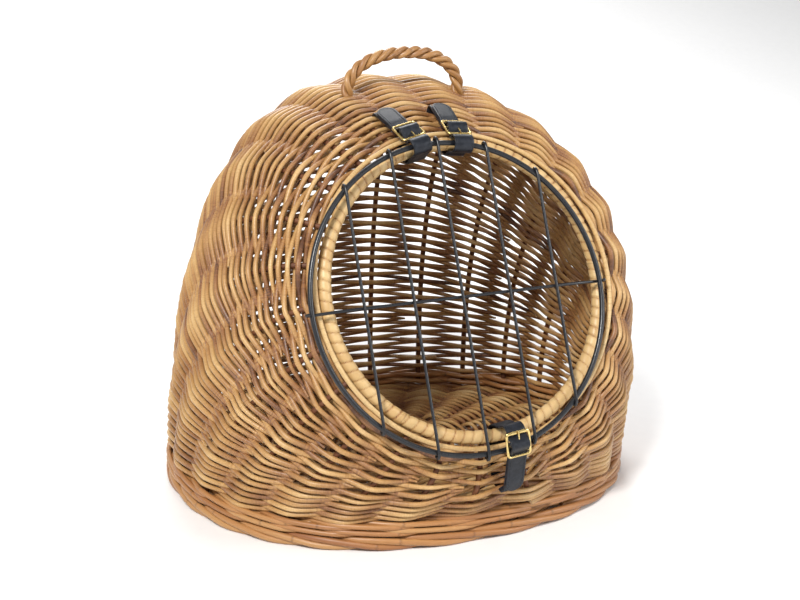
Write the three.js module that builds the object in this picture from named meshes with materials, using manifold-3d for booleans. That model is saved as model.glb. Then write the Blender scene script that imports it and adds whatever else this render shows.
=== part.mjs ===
// A wicker pet basket: a willow cave with a round mouth, closed by a wire door on leather straps.
// Millimetres, +Z up. The mouth faces -Y, the floor rests on Z = 0 and X = 0 is the middle.
//
// The basket is made like a real one. Two crossed groups of sticks hold a woven floor, a rod border
// runs round its edge, and upright stakes rise from that border and bend over to the rim hoop.
// The wall is woven round the stakes. The rim is bound, a twisted rod handle goes through the crown,
// and the door's ring hangs in two buckled straps, with a third strap to latch it.

import * as THREE from 'three';
import { mergeVertices } from 'three/addons/utils/BufferGeometryUtils.js';
import Module from 'manifold-3d';

const wasm = await Module();
wasm.setup();

// ---------------------------------------------------------------- driving dimensions

const GAP = 0.3; // clearance between pieces that touch on the real basket

// floor outline: a rounded oval, a little longer in front of its centre than behind
const FLOOR_HALF_WIDTH = 240;
const FLOOR_FRONT = 222;
const FLOOR_BACK = 203;
const FLOOR_SQUARENESS = 2.2; // 2 is an ellipse, higher is squarer
const FLOOR_CENTRE_Y = 31.7;

// mouth: its hoop, and how far it leans back from upright
const HOOP_RADIUS = 138;
const MOUTH_TILT = THREE.MathUtils.degToRad(24);
const SILL = { forward: 230.6296567, height: 109.4307268 }; // hoop's lowest point, from floor's centre
const HOOP_CENTRE = new THREE.Vector3(
  0,
  FLOOR_CENTRE_Y - SILL.forward + HOOP_RADIUS * Math.sin(MOUTH_TILT),
  SILL.height + HOOP_RADIUS * Math.cos(MOUTH_TILT),
);
const HOOP_ROD = 4.5; // radius of the hoop's rod
const BINDING = 1.7; // thickness of the skein wound round it

// wall: how far each stake runs straight up, how far it runs straight out of the rim, and the angle
// at which it leaves the rim, each at the back, at the sides and at the front
const STAKES = 25;
const FIRST_STAKE = THREE.MathUtils.degToRad(93.6);
const STAKE_R = 3;
const RISE = { back: 425, side: 95, front: 45 };
const SPREAD = { back: 205, side: 75, front: 90 };
const LEAN = { back: 45, side: 5, front: 20 };
const WEAVE_THICKNESS = 5;
const WALE_THICKNESS = 5.7;
const WALE_HEIGHT = 16;
const WALL_INSET = 9; // stake line inside the floor's outline
const RIM_ROD_R = 2.25;
const WEAVE_ROD_ROOM = 6.5; // for the weave's rods where they pass inside a stake

// floor
const BORDER_HEIGHT = 14;
const BORDER_WIDTH = 14;
const FLOOR_THICKNESS = 14;
const FLOOR_CLEARANCE = 2.5; // the floor is held this far above what the basket stands on
const STICK_R = 3.3;
const STICKS_EACH_WAY = 3;
const STICK_SPACING = 8.4;
const SLATH_RADIUS = 34; // open middle of the floor, where the sticks cross
const SLATH_HALF = 20.4; // from the middle to where the sticks start to spread
const STICK_SPREAD = { from: 54.4, spacing: 25.2 }; // how far out and apart they are then
const STICK_SHORT = 2.5; // a stick's end stops this far inside the border

// handle: three rods twisted together in an arch
const HANDLE_Y = FLOOR_CENTRE_Y - 14;
const HANDLE_CENTRE_X = 5;
const HANDLE_HALF_SPAN = 60;
const HANDLE_RISE = 31;
const HANDLE_SQUARENESS = { across: 0.9, up: 0.8 }; // 1 is an ellipse, lower is squarer
const HANDLE_TWISTS = 5.5;
const STRAND_R = 2.7;
const STRAND_OFFSET = 3.6; // each strand's distance from the middle of the twist
const HANDLE_TAIL = 20; // how far the handle's ends go down through the wall
const HANDLE_TAIL_SHARE = 0.14; // share of the handle, counted from its middle, that is tail
const HANDLE_SINK = 12; // where the arch starts, below the top of the wall

// door
const DOOR_RADIUS = HOOP_RADIUS + 7; // its ring covers the hoop all round
const DOOR_OFFSET = { side: -13, up: -9, forward: 16 }; // its ring's centre from the hoop's
const RING_WIRE_R = 2.5;
const BAR_WIRE_R = 1.5;
const BARS = 5;
const HOOK_SIDE = 5.4; // a bar's end loop round the ring, across the ring and along the bar

// straps and buckles
const STRAP_WIDTH = 19;
const LEATHER = 1.8;
const HINGE_ANGLES = { left: THREE.MathUtils.degToRad(102.6), right: THREE.MathUtils.degToRad(84.6) };
const LATCH_ANGLE = THREE.MathUtils.degToRad(275.4);
const LATCH_BUCKLE_W = 2; // latch buckle's centre bar from the hoop, down the wall
const BAR_SPACING = 11; // buckle's front bar to centre bar, and centre bar to back bar
const BUCKLE_BAR_R = 1;
const BUCKLE_SIDE = 2.6; // width of the buckle's side bars
const BUCKLE_CORNER = 2.5;
const BUCKLE_INNER_CORNER = 0.8;
const TONGUE_LENGTH = 38;
const PRONG_WIDTH = 2;
const RING_SLACK = 7.8; // middle of the leather from the ring wire's centre
const BUCKLE_STANDOFF = 6.2; // hinge buckles above the weave, at least
const BUCKLE_OVER_RING = { w: 8, v: 5 }; // their front bars from the ring wire, at least

// how finely curved pieces are divided
const AROUND = 2 * STAKES;
const WEAVE_STEPS = 9;
const SIDES = 6;

// ---------------------------------------------------------------- materials

const material = (color, roughness, metalness = 0) =>
  new THREE.MeshStandardMaterial({ color, roughness, metalness });
const willow = material(0xb98a4e, 0.6);
const paleWillow = material(0xd9b477, 0.5);
const darkWillow = material(0x8f5f36, 0.65);
const leather = material(0x23262e, 0.5);
const brass = material(0xc9a24a, 0.3, 1);
const wire = material(0x2b2e33, 0.4, 0.8);

// ---------------------------------------------------------------- directions in the mouth's plane

const ACROSS = new THREE.Vector3(1, 0, 0);
const UP = new THREE.Vector3(0, Math.sin(MOUTH_TILT), Math.cos(MOUTH_TILT));
const OUT = new THREE.Vector3().crossVectors(ACROSS, UP);
const toMouth = new THREE.Matrix4().makeBasis(ACROSS, UP, OUT).setPosition(HOOP_CENTRE);
const DOOR_CENTRE = new THREE.Vector3(DOOR_OFFSET.side, DOOR_OFFSET.up, DOOR_OFFSET.forward);
const SLEEVE_R = HOOP_ROD + GAP + BINDING;

const outwards = (angle) =>
  ACROSS.clone().multiplyScalar(Math.cos(angle)).addScaledVector(UP, Math.sin(angle));

// ---------------------------------------------------------------- building blocks

const group = new THREE.Group();

function add(name, geometry, look) {
  const mesh = new THREE.Mesh(geometry, look);
  mesh.name = name;
  group.add(mesh);
}

// A closed ring of any section: sectionAt(k) gives the section's points at step k of the way round.
function ring(sectionAt, around) {
  const sections = Array.from({ length: around }, (_, k) => sectionAt(k));
  const sides = sections[0].length;
  const geometry = new THREE.TorusGeometry(1, 1, sides, around);
  const { position, uv } = geometry.attributes;
  for (let i = 0; i < position.count; i += 1) {
    const section = sections[Math.round(uv.getX(i) * around) % around];
    const point = section[Math.round(uv.getY(i) * sides) % sides];
    position.setXYZ(i, point.x, point.y, point.z);
  }
  geometry.computeVertexNormals();
  return geometry;
}

const disc = (radius, sides) => new THREE.Shape(
  Array.from({ length: sides }, (_, k) => {
    const turn = (2 * Math.PI * k) / sides;
    return new THREE.Vector2(radius * Math.cos(turn), radius * Math.sin(turn));
  }),
);

const rod = (path, radius, steps, sides = SIDES) =>
  new THREE.ExtrudeGeometry(disc(radius, sides), { extrudePath: path, steps });

const spline = (points) => new THREE.CatmullRomCurve3(points, false, 'centripetal');

// A curve whose equal steps are given by a function, not by its length.
class SteppedCurve extends THREE.Curve {
  constructor(pointOf) {
    super();
    this.pointOf = pointOf;
  }

  getPoint(t) {
    return this.pointOf(t);
  }

  getPointAt(t) {
    return this.pointOf(t);
  }

  getTangentAt(t) {
    return this.getTangent(t);
  }
}

function toSolid(geometry) {
  const bare = geometry.clone();
  bare.deleteAttribute('normal');
  bare.deleteAttribute('uv');
  const merged = mergeVertices(bare, 1e-4);
  return new wasm.Manifold(new wasm.Mesh({
    numProp: 3,
    vertProperties: Float32Array.from(merged.attributes.position.array),
    triVerts: Uint32Array.from(merged.index.array),
  }));
}

function toGeometry(solid) {
  const { vertProperties, triVerts } = solid.getMesh();
  const geometry = new THREE.BufferGeometry();
  geometry.setAttribute('position', new THREE.BufferAttribute(Float32Array.from(vertProperties), 3));
  geometry.setIndex(new THREE.BufferAttribute(Uint32Array.from(triVerts), 1));
  geometry.computeVertexNormals();
  return geometry;
}

const cut = (geometry, cutters) =>
  toGeometry(cutters.reduce((solid, cutter) => solid.subtract(toSolid(cutter)), toSolid(geometry)));

const join = (one, other) => toGeometry(toSolid(one).add(toSolid(other)));

// ---------------------------------------------------------------- floor outline and wall surface

// A point of the floor's outline, moved in by inset.
function outline(angle, inset, z) {
  const power = 2 / FLOOR_SQUARENESS;
  const along = (half, value) => (half - inset) * Math.sign(value) * Math.abs(value) ** power;
  const depth = Math.sin(angle) > 0 ? FLOOR_BACK : FLOOR_FRONT;
  return new THREE.Vector3(
    along(FLOOR_HALF_WIDTH, Math.cos(angle)),
    FLOOR_CENTRE_Y + along(depth, Math.sin(angle)),
    z,
  );
}

// A value that is back, side or front in those three directions, and blends smoothly between them.
function byDirection({ back, side, front }, angle) {
  const y = Math.sin(angle);
  return side + ((back - front) / 2) * y + ((back + front) / 2 - side) * y * y;
}

// The line that a stake follows, from the top of the floor's border to the bound hoop.
function stakeLine(angle) {
  const lean = THREE.MathUtils.degToRad(byDirection(LEAN, angle));
  const away = outwards(angle).multiplyScalar(Math.cos(lean)).addScaledVector(OUT, -Math.sin(lean));
  const hoop = HOOP_CENTRE.clone().addScaledVector(outwards(angle), HOOP_RADIUS);
  const foot = outline(angle, WALL_INSET, BORDER_HEIGHT + GAP);
  return new THREE.CubicBezierCurve3(
    foot,
    foot.clone().setZ(foot.z + byDirection(RISE, angle)),
    hoop.clone().addScaledVector(away, byDirection(SPREAD, angle)),
    hoop.clone().addScaledVector(away, SLEEVE_R + GAP),
  );
}

// The wall at one angle: at(distance, height) is the point that lies distance from the foot along the
// stake line and height outside it.
function wallAt(angle) {
  const line = stakeLine(angle);
  const sliver = 0.002;
  const before = stakeLine(angle - sliver);
  const after = stakeLine(angle + sliver);
  const length = line.getLength();
  const at = (distance, height) => {
    const t = distance / length;
    const sideways = after.getPointAt(t).sub(before.getPointAt(t));
    const normal = sideways.cross(line.getTangentAt(t)).normalize();
    return line.getPointAt(t).addScaledVector(normal, height);
  };
  return { length, at };
}

const WALL_INNER = STAKE_R + GAP; // inner face of the woven wall, outside the stake line
const RIM_ZONE = 2 * RIM_ROD_R + 2 * GAP; // left free at the rim for the rod laid there

const wallAngle = (k) => FIRST_STAKE + (2 * Math.PI * k) / AROUND;
const walls = Array.from({ length: AROUND }, (_, k) => wallAt(wallAngle(k)));

// Distances along a stake at which the wall is divided: the foot, the top of the wale, equal steps
// through the weave, and the rim.
function stations(length) {
  const weave = length - RIM_ZONE - WALE_HEIGHT;
  const inner = Array.from({ length: WEAVE_STEPS + 1 }, (_, k) => WALE_HEIGHT + (weave * k) / WEAVE_STEPS);
  return [0, ...inner, length];
}

// The wall's band between two of its stations, as a section for ring().
function band(wall, from, to, thickness, lift) {
  const heights = stations(wall.length).slice(from, to + 1);
  heights[0] += lift;
  const outer = heights.map((d) => wall.at(d, WALL_INNER + thickness));
  const inner = heights.map((d) => wall.at(d, WALL_INNER)).reverse();
  return [...inner, ...outer];
}

// ---------------------------------------------------------------- floor

const FLOOR_MIDDLE = FLOOR_CLEARANCE + FLOOR_THICKNESS / 2;

function footBorder() {
  const round = 3;
  const section = [[0, round], [0, BORDER_HEIGHT - round], [round, BORDER_HEIGHT],
    [BORDER_WIDTH - round, BORDER_HEIGHT], [BORDER_WIDTH, BORDER_HEIGHT - round],
    [BORDER_WIDTH, round], [BORDER_WIDTH - round, 0], [round, 0]];
  return ring((k) => section.map(([inset, z]) => outline(wallAngle(k), inset, z)), AROUND);
}

// A stick through the floor's middle: level 0 runs across and level 1 runs front to back.
// Each stick spreads from the middle, so that its ends share the edge evenly with the others.
function stickPath(level, index, inset) {
  const place = index - (STICKS_EACH_WAY - 1) / 2;
  const step = Math.PI / (2 * STICKS_EACH_WAY);
  const facing = (level * Math.PI) / 2;
  const middle = new THREE.Vector3(0, FLOOR_CENTRE_Y, 0);
  const near = (along, aside, z) => new THREE.Vector3(along, aside, z)
    .applyAxisAngle(new THREE.Vector3(0, 0, 1), facing).add(middle);
  const crossing = FLOOR_MIDDLE + (level - 0.5) * (2 * STICK_R + GAP + 0.1);
  const turn = facing + place * step;
  const opposite = facing + Math.PI - place * step;
  return spline([
    outline(opposite, inset, FLOOR_MIDDLE),
    near(-STICK_SPREAD.from, place * STICK_SPREAD.spacing, FLOOR_MIDDLE),
    near(-SLATH_HALF, place * STICK_SPACING, crossing),
    near(SLATH_HALF, place * STICK_SPACING, crossing),
    near(STICK_SPREAD.from, place * STICK_SPREAD.spacing, FLOOR_MIDDLE),
    outline(turn, inset, FLOOR_MIDDLE),
  ]);
}

const sticks = ['across', 'lengthwise'].flatMap((way, level) =>
  Array.from({ length: STICKS_EACH_WAY }, (_, index) => ({ way, level, index })));
const STICK_STEPS = 14;

function floorWeave() {
  const edge = Array.from({ length: AROUND }, (_, k) => outline(wallAngle(k), BORDER_WIDTH + GAP, 0));
  const shape = new THREE.Shape(edge.map(({ x, y }) => new THREE.Vector2(x, y)));
  shape.holes.push(new THREE.Path().absarc(0, FLOOR_CENTRE_Y, SLATH_RADIUS, 0, 2 * Math.PI, true));
  const plate = new THREE.ExtrudeGeometry(shape, {
    depth: FLOOR_THICKNESS, bevelEnabled: false, curveSegments: 12,
  });
  plate.translate(0, 0, FLOOR_CLEARANCE);
  const flatOfHexagon = Math.cos(Math.PI / SIDES);
  const channels = sticks.map(({ level, index }) =>
    rod(stickPath(level, index, BORDER_WIDTH - GAP), (STICK_R + 2 * GAP) / flatOfHexagon, STICK_STEPS));
  return cut(plate, channels);
}

add('foot_border', footBorder(), darkWillow);
add('floor_weave', floorWeave(), willow);
for (const { way, level, index } of sticks) {
  const path = stickPath(level, index, BORDER_WIDTH + STICK_SHORT);
  add(`floor_stick_${way}_${index + 1}`, rod(path, STICK_R, STICK_STEPS), darkWillow);
}

// ---------------------------------------------------------------- straps: where each one sits

// The ring wire's centre, measured from the hoop's centre in the mouth's plane, at one angle.
function ringReach(angle) {
  const { side, up } = DOOR_OFFSET;
  const along = side * Math.cos(angle) + up * Math.sin(angle);
  return along + Math.sqrt(DOOR_RADIUS ** 2 - side ** 2 - up ** 2 + along ** 2);
}

// A strap lies in the plane through the hoop's axis at its angle. Its place is given from the hoop:
// w along the wall, away from the mouth, and v out of the wall.
function strapFrame(angle) {
  const lean = THREE.MathUtils.degToRad(byDirection(LEAN, angle));
  const radial = outwards(angle);
  const w = radial.clone().multiplyScalar(Math.cos(lean)).addScaledVector(OUT, -Math.sin(lean));
  const v = radial.clone().multiplyScalar(Math.sin(lean)).addScaledVector(OUT, Math.cos(lean));
  const origin = HOOP_CENTRE.clone().addScaledVector(radial, HOOP_RADIUS);
  const matrix = new THREE.Matrix4().makeBasis(w, v, w.clone().cross(v)).setPosition(origin);
  const reach = ringReach(angle) - HOOP_RADIUS;
  const ringAt = new THREE.Vector2(
    reach * Math.cos(lean) - DOOR_OFFSET.forward * Math.sin(lean),
    reach * Math.sin(lean) + DOOR_OFFSET.forward * Math.cos(lean),
  );
  const wall = wallAt(angle);
  const back = matrix.clone().invert();
  // the wall's outer or inner side at w, as a place in this frame
  const beside = (distance, height) => {
    const point = wall.at(wall.length + SLEEVE_R + GAP - distance, height).applyMatrix4(back);
    return new THREE.Vector2(point.x, point.y);
  };
  return { matrix, ringAt, beside };
}

const OUTSIDE = WALL_INNER + WEAVE_THICKNESS;
const INSIDE = -(STAKE_R + WEAVE_ROD_ROOM); // inner side of the rods that pass inside the stakes
const v2 = (w, v) => new THREE.Vector2(w, v);

const UNDER_BAR = BUCKLE_BAR_R + GAP + LEATHER / 2; // leather's middle below the bar that it touches
const STACKED = LEATHER + 3 * GAP; // one layer's middle above the next one's
const UNDER_STRAP = UNDER_BAR + 2 * GAP + STACKED;
const ON_WEAVE = OUTSIDE + LEATHER / 2; // height of leather that lies on the weave

const hingeSeat = (angle) => {
  const frame = strapFrame(angle);
  const { x, y } = frame.ringAt;
  const middle = x + BUCKLE_OVER_RING.w + BAR_SPACING;
  const weave = frame.beside(middle + BAR_SPACING, ON_WEAVE + GAP).y;
  const height = Math.max(OUTSIDE + BUCKLE_STANDOFF, y + BUCKLE_OVER_RING.v, weave + UNDER_STRAP);
  return { ...frame, buckle: v2(middle, height) };
};
const latchSeat = (angle) => {
  const frame = strapFrame(angle);
  const height = frame.ringAt.y + RING_WIRE_R + 3 * LEATHER + 2 * BUCKLE_BAR_R;
  return { ...frame, buckle: v2(LATCH_BUCKLE_W, height) };
};
const seats = {
  hinge_left: hingeSeat(HINGE_ANGLES.left),
  hinge_right: hingeSeat(HINGE_ANGLES.right),
  latch: latchSeat(LATCH_ANGLE),
};
const holeAt = ({ buckle }) => buckle.x + BAR_SPACING + TONGUE_LENGTH + LEATHER;

// The slot in the weave that a strap goes in through.
function strapSlot(seat) {
  const depth = 2 * OUTSIDE;
  const slot = new THREE.BoxGeometry(LEATHER + 4 * GAP, depth, STRAP_WIDTH + 4 * GAP);
  const middle = seat.beside(holeAt(seat), OUTSIDE / 2);
  const outer = seat.beside(holeAt(seat), OUTSIDE);
  const slope = Math.atan2(outer.x - middle.x, outer.y - middle.y);
  return slot.rotateZ(-slope).translate(middle.x, middle.y, 0).applyMatrix4(seat.matrix);
}

// ---------------------------------------------------------------- handle

// The arch's middle line: an ellipse's upper half on legs that go down through the wall.
const crown = wallAt(Math.PI / 2);
const CROWN_SAMPLES = 80;
const crownAt = (y) => {
  const points = Array.from({ length: CROWN_SAMPLES + 1 }, (_, k) =>
    crown.at((crown.length * k) / CROWN_SAMPLES, OUTSIDE));
  const high = points.filter((p) => p.z > HOOP_CENTRE.z);
  return high.reduce((best, p) => (Math.abs(p.y - y) < Math.abs(best.y - y) ? p : best)).z;
};
const HANDLE_FOOT_Z = crownAt(HANDLE_Y) - HANDLE_SINK;

function handleLine(t) {
  const swing = Math.PI * (1 - t);
  const tail = Math.max(0, Math.abs(2 * t - 1) - 1 + HANDLE_TAIL_SHARE) / HANDLE_TAIL_SHARE;
  const across = Math.sign(Math.cos(swing)) * Math.abs(Math.cos(swing)) ** HANDLE_SQUARENESS.across;
  return new THREE.Vector3(
    HANDLE_CENTRE_X + HANDLE_HALF_SPAN * across,
    HANDLE_Y,
    HANDLE_FOOT_Z + (HANDLE_RISE + HANDLE_SINK) * Math.sin(swing) ** HANDLE_SQUARENESS.up
      - HANDLE_TAIL * tail,
  );
}
const handlePath = spline(Array.from({ length: 25 }, (_, k) => handleLine(k / 24)));

function handleStrand(index) {
  return new SteppedCurve((t) => {
    const centre = handlePath.getPointAt(t);
    const along = handlePath.getTangentAt(t);
    const side = new THREE.Vector3(0, 1, 0);
    const upward = side.clone().cross(along);
    const turn = 2 * Math.PI * (HANDLE_TWISTS * t + index / 3);
    return centre.addScaledVector(side, STRAND_OFFSET * Math.cos(turn))
      .addScaledVector(upward, STRAND_OFFSET * Math.sin(turn));
  });
}

// ---------------------------------------------------------------- wall

const handleHole = rod(handlePath, STRAND_R + STRAND_OFFSET + 3 * GAP, 24, 10);
const wallWeave = ring((k) => band(walls[k], 1, WEAVE_STEPS + 1, WEAVE_THICKNESS, GAP), AROUND);

add('lower_wale', ring((k) => band(walls[k], 0, 1, WALE_THICKNESS, 0), AROUND), darkWillow);
add('wall_weave', cut(wallWeave, [...Object.values(seats).map(strapSlot), handleHole]), willow);
for (let k = 0; k < STAKES; k += 1) {
  const wall = walls[2 * k];
  const marks = stations(wall.length);
  const path = new SteppedCurve((t) => {
    const place = t * (marks.length - 1);
    const from = Math.min(Math.floor(place), marks.length - 2);
    return wall.at(THREE.MathUtils.lerp(marks[from], marks[from + 1], place - from), 0);
  });
  add(`stake_${String(k + 1).padStart(2, '0')}`, rod(path, STAKE_R, marks.length - 1, 5), darkWillow);
}

for (let index = 0; index < 3; index += 1) {
  add(`handle_strand_${index + 1}`, rod(handleStrand(index), STRAND_R, 44, 5), willow);
}

// ---------------------------------------------------------------- rim

const inMouth = (x, y, z) => new THREE.Vector3(x, y, z).applyMatrix4(toMouth);

function hoopSection(angle, radius, corners) {
  return corners.map((corner) => {
    const turn = (2 * Math.PI * corner) / SIDES;
    const reach = HOOP_RADIUS + radius * Math.cos(turn);
    return inMouth(reach * Math.cos(angle), reach * Math.sin(angle), radius * Math.sin(turn));
  });
}

const corners = Array.from({ length: SIDES }, (_, k) => k);
const rimHoop = ring((k) => hoopSection(wallAngle(k), HOOP_ROD, corners), AROUND);

// The wound skein as one sleeve, open along the side that faces into the basket.
const rimBinding = ring((k) => [
  ...hoopSection(wallAngle(k), SLEEVE_R, corners.map((corner) => corner - 1)),
  ...hoopSection(wallAngle(k), HOOP_ROD + GAP + 0.05, corners.map((corner) => corner - 1)).reverse(),
], AROUND);

// The rod laid against the binding, on the outside of the stakes.
const rimRod = ring((k) => {
  const wall = walls[k];
  const middle = wall.at(wall.length - GAP - RIM_ROD_R, STAKE_R + GAP + RIM_ROD_R);
  const out = wall.at(wall.length - GAP - RIM_ROD_R, STAKE_R + GAP + 2 * RIM_ROD_R).sub(middle);
  const along = walls[k].at(wall.length - GAP, STAKE_R + GAP + RIM_ROD_R).sub(middle).setLength(RIM_ROD_R);
  return corners.map((corner) => {
    const turn = (-2 * Math.PI * corner) / SIDES;
    return middle.clone().addScaledVector(along, Math.cos(turn)).addScaledVector(out, Math.sin(turn));
  });
}, AROUND);

add('rim_hoop', rimHoop, darkWillow);
add('rim_binding', rimBinding, paleWillow);
add('rim_rod', rimRod, paleWillow);

// ---------------------------------------------------------------- door

const inDoor = (x, y, z) => new THREE.Vector3(x, y, z).add(DOOR_CENTRE).applyMatrix4(toMouth);
const HOOK_OUT = RING_WIRE_R + GAP + BAR_WIRE_R;
const BAR_STEPS = 30;

// A bar across the ring with both ends looped round it. place(along, out) puts it in the door.
function barPath(halfLength, front, middleOut, place) {
  const hook = (end) => [150, 90, 35, 0].map((degrees) => {
    const turn = THREE.MathUtils.degToRad(degrees);
    return place(end * (halfLength + HOOK_SIDE * Math.sin(turn)), front * HOOK_OUT * Math.cos(turn));
  });
  const ease = 28;
  const line = spline([
    ...hook(-1),
    place(-halfLength + ease, middleOut),
    place(0, middleOut),
    place(halfLength - ease, middleOut),
    ...hook(1).reverse(),
  ]);
  return new SteppedCurve((t) => line.getPoint(t));
}

const doorRing = new THREE.TorusGeometry(DOOR_RADIUS, RING_WIRE_R, SIDES, AROUND)
  .applyMatrix4(toMouth.clone().multiply(new THREE.Matrix4().setPosition(DOOR_CENTRE)));
add('door_ring', doorRing, wire);
for (let k = 0; k < BARS; k += 1) {
  const x = ((2 * (k + 1)) / (BARS + 1) - 1) * DOOR_RADIUS;
  const halfLength = Math.sqrt(DOOR_RADIUS ** 2 - x ** 2);
  const path = barPath(halfLength, 1, HOOK_OUT, (along, out) => inDoor(x, along, out));
  add(`door_bar_${k + 1}`, rod(path, BAR_WIRE_R, BAR_STEPS, 5), wire);
}
const crossOut = HOOK_OUT - 2 * BAR_WIRE_R - 3 * GAP; // behind the bars, and clear of them
const crossPath = barPath(DOOR_RADIUS, -1, crossOut, (along, out) => inDoor(along, 0, out));
add('door_cross_bar', rod(crossPath, BAR_WIRE_R, BAR_STEPS, 5), wire);

// ---------------------------------------------------------------- straps, buckles and prongs

const STEPS_BETWEEN_POINTS = 2;

// Leather of one thickness along a line of points in a strap's frame.
function leatherAlong(points) {
  const line = new THREE.SplineCurve(points);
  const steps = STEPS_BETWEEN_POINTS * (points.length - 1);
  const sides = [1, -1].map((side) => Array.from({ length: steps + 1 }, (_, k) => {
    const tangent = line.getTangent(k / steps);
    const normal = v2(-tangent.y, tangent.x).multiplyScalar((side * LEATHER) / 2);
    return line.getPoint(k / steps).add(normal);
  }));
  const shape = new THREE.Shape([...sides[0], ...sides[1].reverse()]);
  return new THREE.ExtrudeGeometry(shape, { depth: STRAP_WIDTH, bevelEnabled: false })
    .translate(0, 0, -STRAP_WIDTH / 2);
}

// The leather's middle on its way from the back bar down to the hole in the weave.
function downTo(seat, share) {
  const { buckle, beside } = seat;
  const w = THREE.MathUtils.lerp(buckle.x + BAR_SPACING, holeAt(seat), share);
  const sinking = v2(w, buckle.y - UNDER_STRAP).lerp(beside(w, ON_WEAVE + 5 * GAP), share ** 0.8);
  return sinking.setY(Math.max(sinking.y, beside(w, ON_WEAVE + GAP).y));
}

// The folded end round the buckle's centre bar, and on under the back bar to the hole in the weave.
function chapeLine(seat) {
  const { buckle } = seat;
  const fold = [60, 100, 140, 180, 220, 260].map((degrees) => {
    const turn = THREE.MathUtils.degToRad(degrees);
    return buckle.clone().add(v2(UNDER_BAR * Math.cos(turn), UNDER_BAR * Math.sin(turn)));
  });
  return [
    ...fold,
    buckle.clone().add(v2(BAR_SPACING * 0.55, -0.85 * UNDER_STRAP)),
    ...[0, 0.35, 0.7, 0.93].map((share) => downTo(seat, share)),
  ];
}

// From the hole, along the inside of the wall and round the hoop, towards the ring.
function innerLine(seat) {
  const { beside } = seat;
  const hole = holeAt(seat);
  const inside = INSIDE - LEATHER / 2;
  const clear = SLEEVE_R + GAP + LEATHER;
  return [
    beside(hole, OUTSIDE - 2 * GAP),
    beside(hole, 0),
    beside(hole - 1, inside + 3),
    beside(hole - 6, inside),
    beside(hole * 0.55, inside),
    v2(clear, inside),
    v2(-0.6 * clear, inside + 1.5),
    v2(-clear - 1, -0.3 * clear),
  ];
}

// Under the front bar, over the centre bar, under the back bar, and the tongue down on the chape.
function tongueLine(seat) {
  const over = UNDER_BAR + LEATHER + 2 * GAP;
  const under = -UNDER_BAR - 2 * GAP;
  const from = (w, v) => seat.buckle.clone().add(v2(w, v));
  return [
    from(-BAR_SPACING - 1.5, under - GAP),
    from(-BAR_SPACING + 2, under - GAP),
    from(-BAR_SPACING / 2 + 0.5, 0.4 * over),
    from(-1.5, over),
    from(1.5, over),
    from(BAR_SPACING / 2 - 0.5, 0.4 * over),
    ...[0, 0.35, 0.7, 0.95].map((share) => downTo(seat, share).add(v2(0, STACKED))),
  ];
}

// Round the ring wire on the side away from the wall, as far as the top of the wire.
function roundRing({ ringAt }) {
  return [235, 190, 145, 100, 60].map((degrees) => {
    const turn = THREE.MathUtils.degToRad(degrees);
    return ringAt.clone().add(v2(RING_SLACK * Math.cos(turn), RING_SLACK * Math.sin(turn)));
  });
}

// The slot that the prong stands and lifts in, through the fold and through the strap over it.
function prongSlot({ buckle }) {
  const from = -BAR_SPACING + 1.5;
  const to = UNDER_BAR + LEATHER;
  const low = -UNDER_BAR - LEATHER;
  const high = UNDER_BAR + 3 * LEATHER;
  return new THREE.BoxGeometry(to - from, high - low, PRONG_WIDTH + 3 * GAP)
    .translate(buckle.x + (from + to) / 2, buckle.y + (low + high) / 2, 0);
}

// What is cut away to round the tongue's end: its two corners, down to the chape below.
function tongueCorners(seat) {
  const tip = downTo(seat, 0.95).add(v2(0, STACKED));
  const before = downTo(seat, 0.7).add(v2(0, STACKED));
  const half = STRAP_WIDTH / 2;
  const corners = new THREE.Shape();
  corners.moveTo(-half, -half - 1);
  corners.absarc(-half, 0, half, -Math.PI / 2, Math.PI / 2, false);
  corners.lineTo(-half, half + 1);
  corners.lineTo(3, half + 1);
  corners.lineTo(3, -half - 1);
  return new THREE.ExtrudeGeometry(corners, { depth: 2 * LEATHER, bevelEnabled: false, curveSegments: 10 })
    .rotateX(-Math.PI / 2)
    .translate(0, -LEATHER / 2 - 1.5 * GAP, 0)
    .rotateZ(Math.atan2(tip.y - before.y, tip.x - before.x))
    .translate(tip.x, tip.y, 0);
}

function buckleFrame({ buckle, matrix }) {
  const half = STRAP_WIDTH / 2 + 2 * GAP;
  const oblong = (shape, from, to, reach, round) => {
    shape.moveTo(from + round, -reach);
    shape.lineTo(to - round, -reach);
    shape.quadraticCurveTo(to, -reach, to, -reach + round);
    shape.lineTo(to, reach - round);
    shape.quadraticCurveTo(to, reach, to - round, reach);
    shape.lineTo(from + round, reach);
    shape.quadraticCurveTo(from, reach, from, reach - round);
    shape.lineTo(from, -reach + round);
    shape.quadraticCurveTo(from, -reach, from + round, -reach);
    return shape;
  };
  const frontBar = 1.5 * BUCKLE_BAR_R;
  const [front, back] = [-BAR_SPACING - frontBar, BAR_SPACING + BUCKLE_BAR_R];
  const plate = oblong(new THREE.Shape(), front, back, half + BUCKLE_SIDE, BUCKLE_CORNER);
  const hole = [-BAR_SPACING + frontBar, BAR_SPACING - BUCKLE_BAR_R, half, BUCKLE_INNER_CORNER];
  plate.holes.push(oblong(new THREE.Path(), ...hole));
  const thick = { depth: 2 * BUCKLE_BAR_R, bevelEnabled: false, curveSegments: 3 };
  const frame = new THREE.ExtrudeGeometry(plate, thick)
    .rotateX(-Math.PI / 2)
    .translate(0, -BUCKLE_BAR_R, 0);
  const centreBar = new THREE.CylinderGeometry(BUCKLE_BAR_R, BUCKLE_BAR_R, 2 * half + BUCKLE_SIDE, 8)
    .rotateX(Math.PI / 2);
  return join(frame, centreBar).translate(buckle.x, buckle.y, 0).applyMatrix4(matrix);
}

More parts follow.
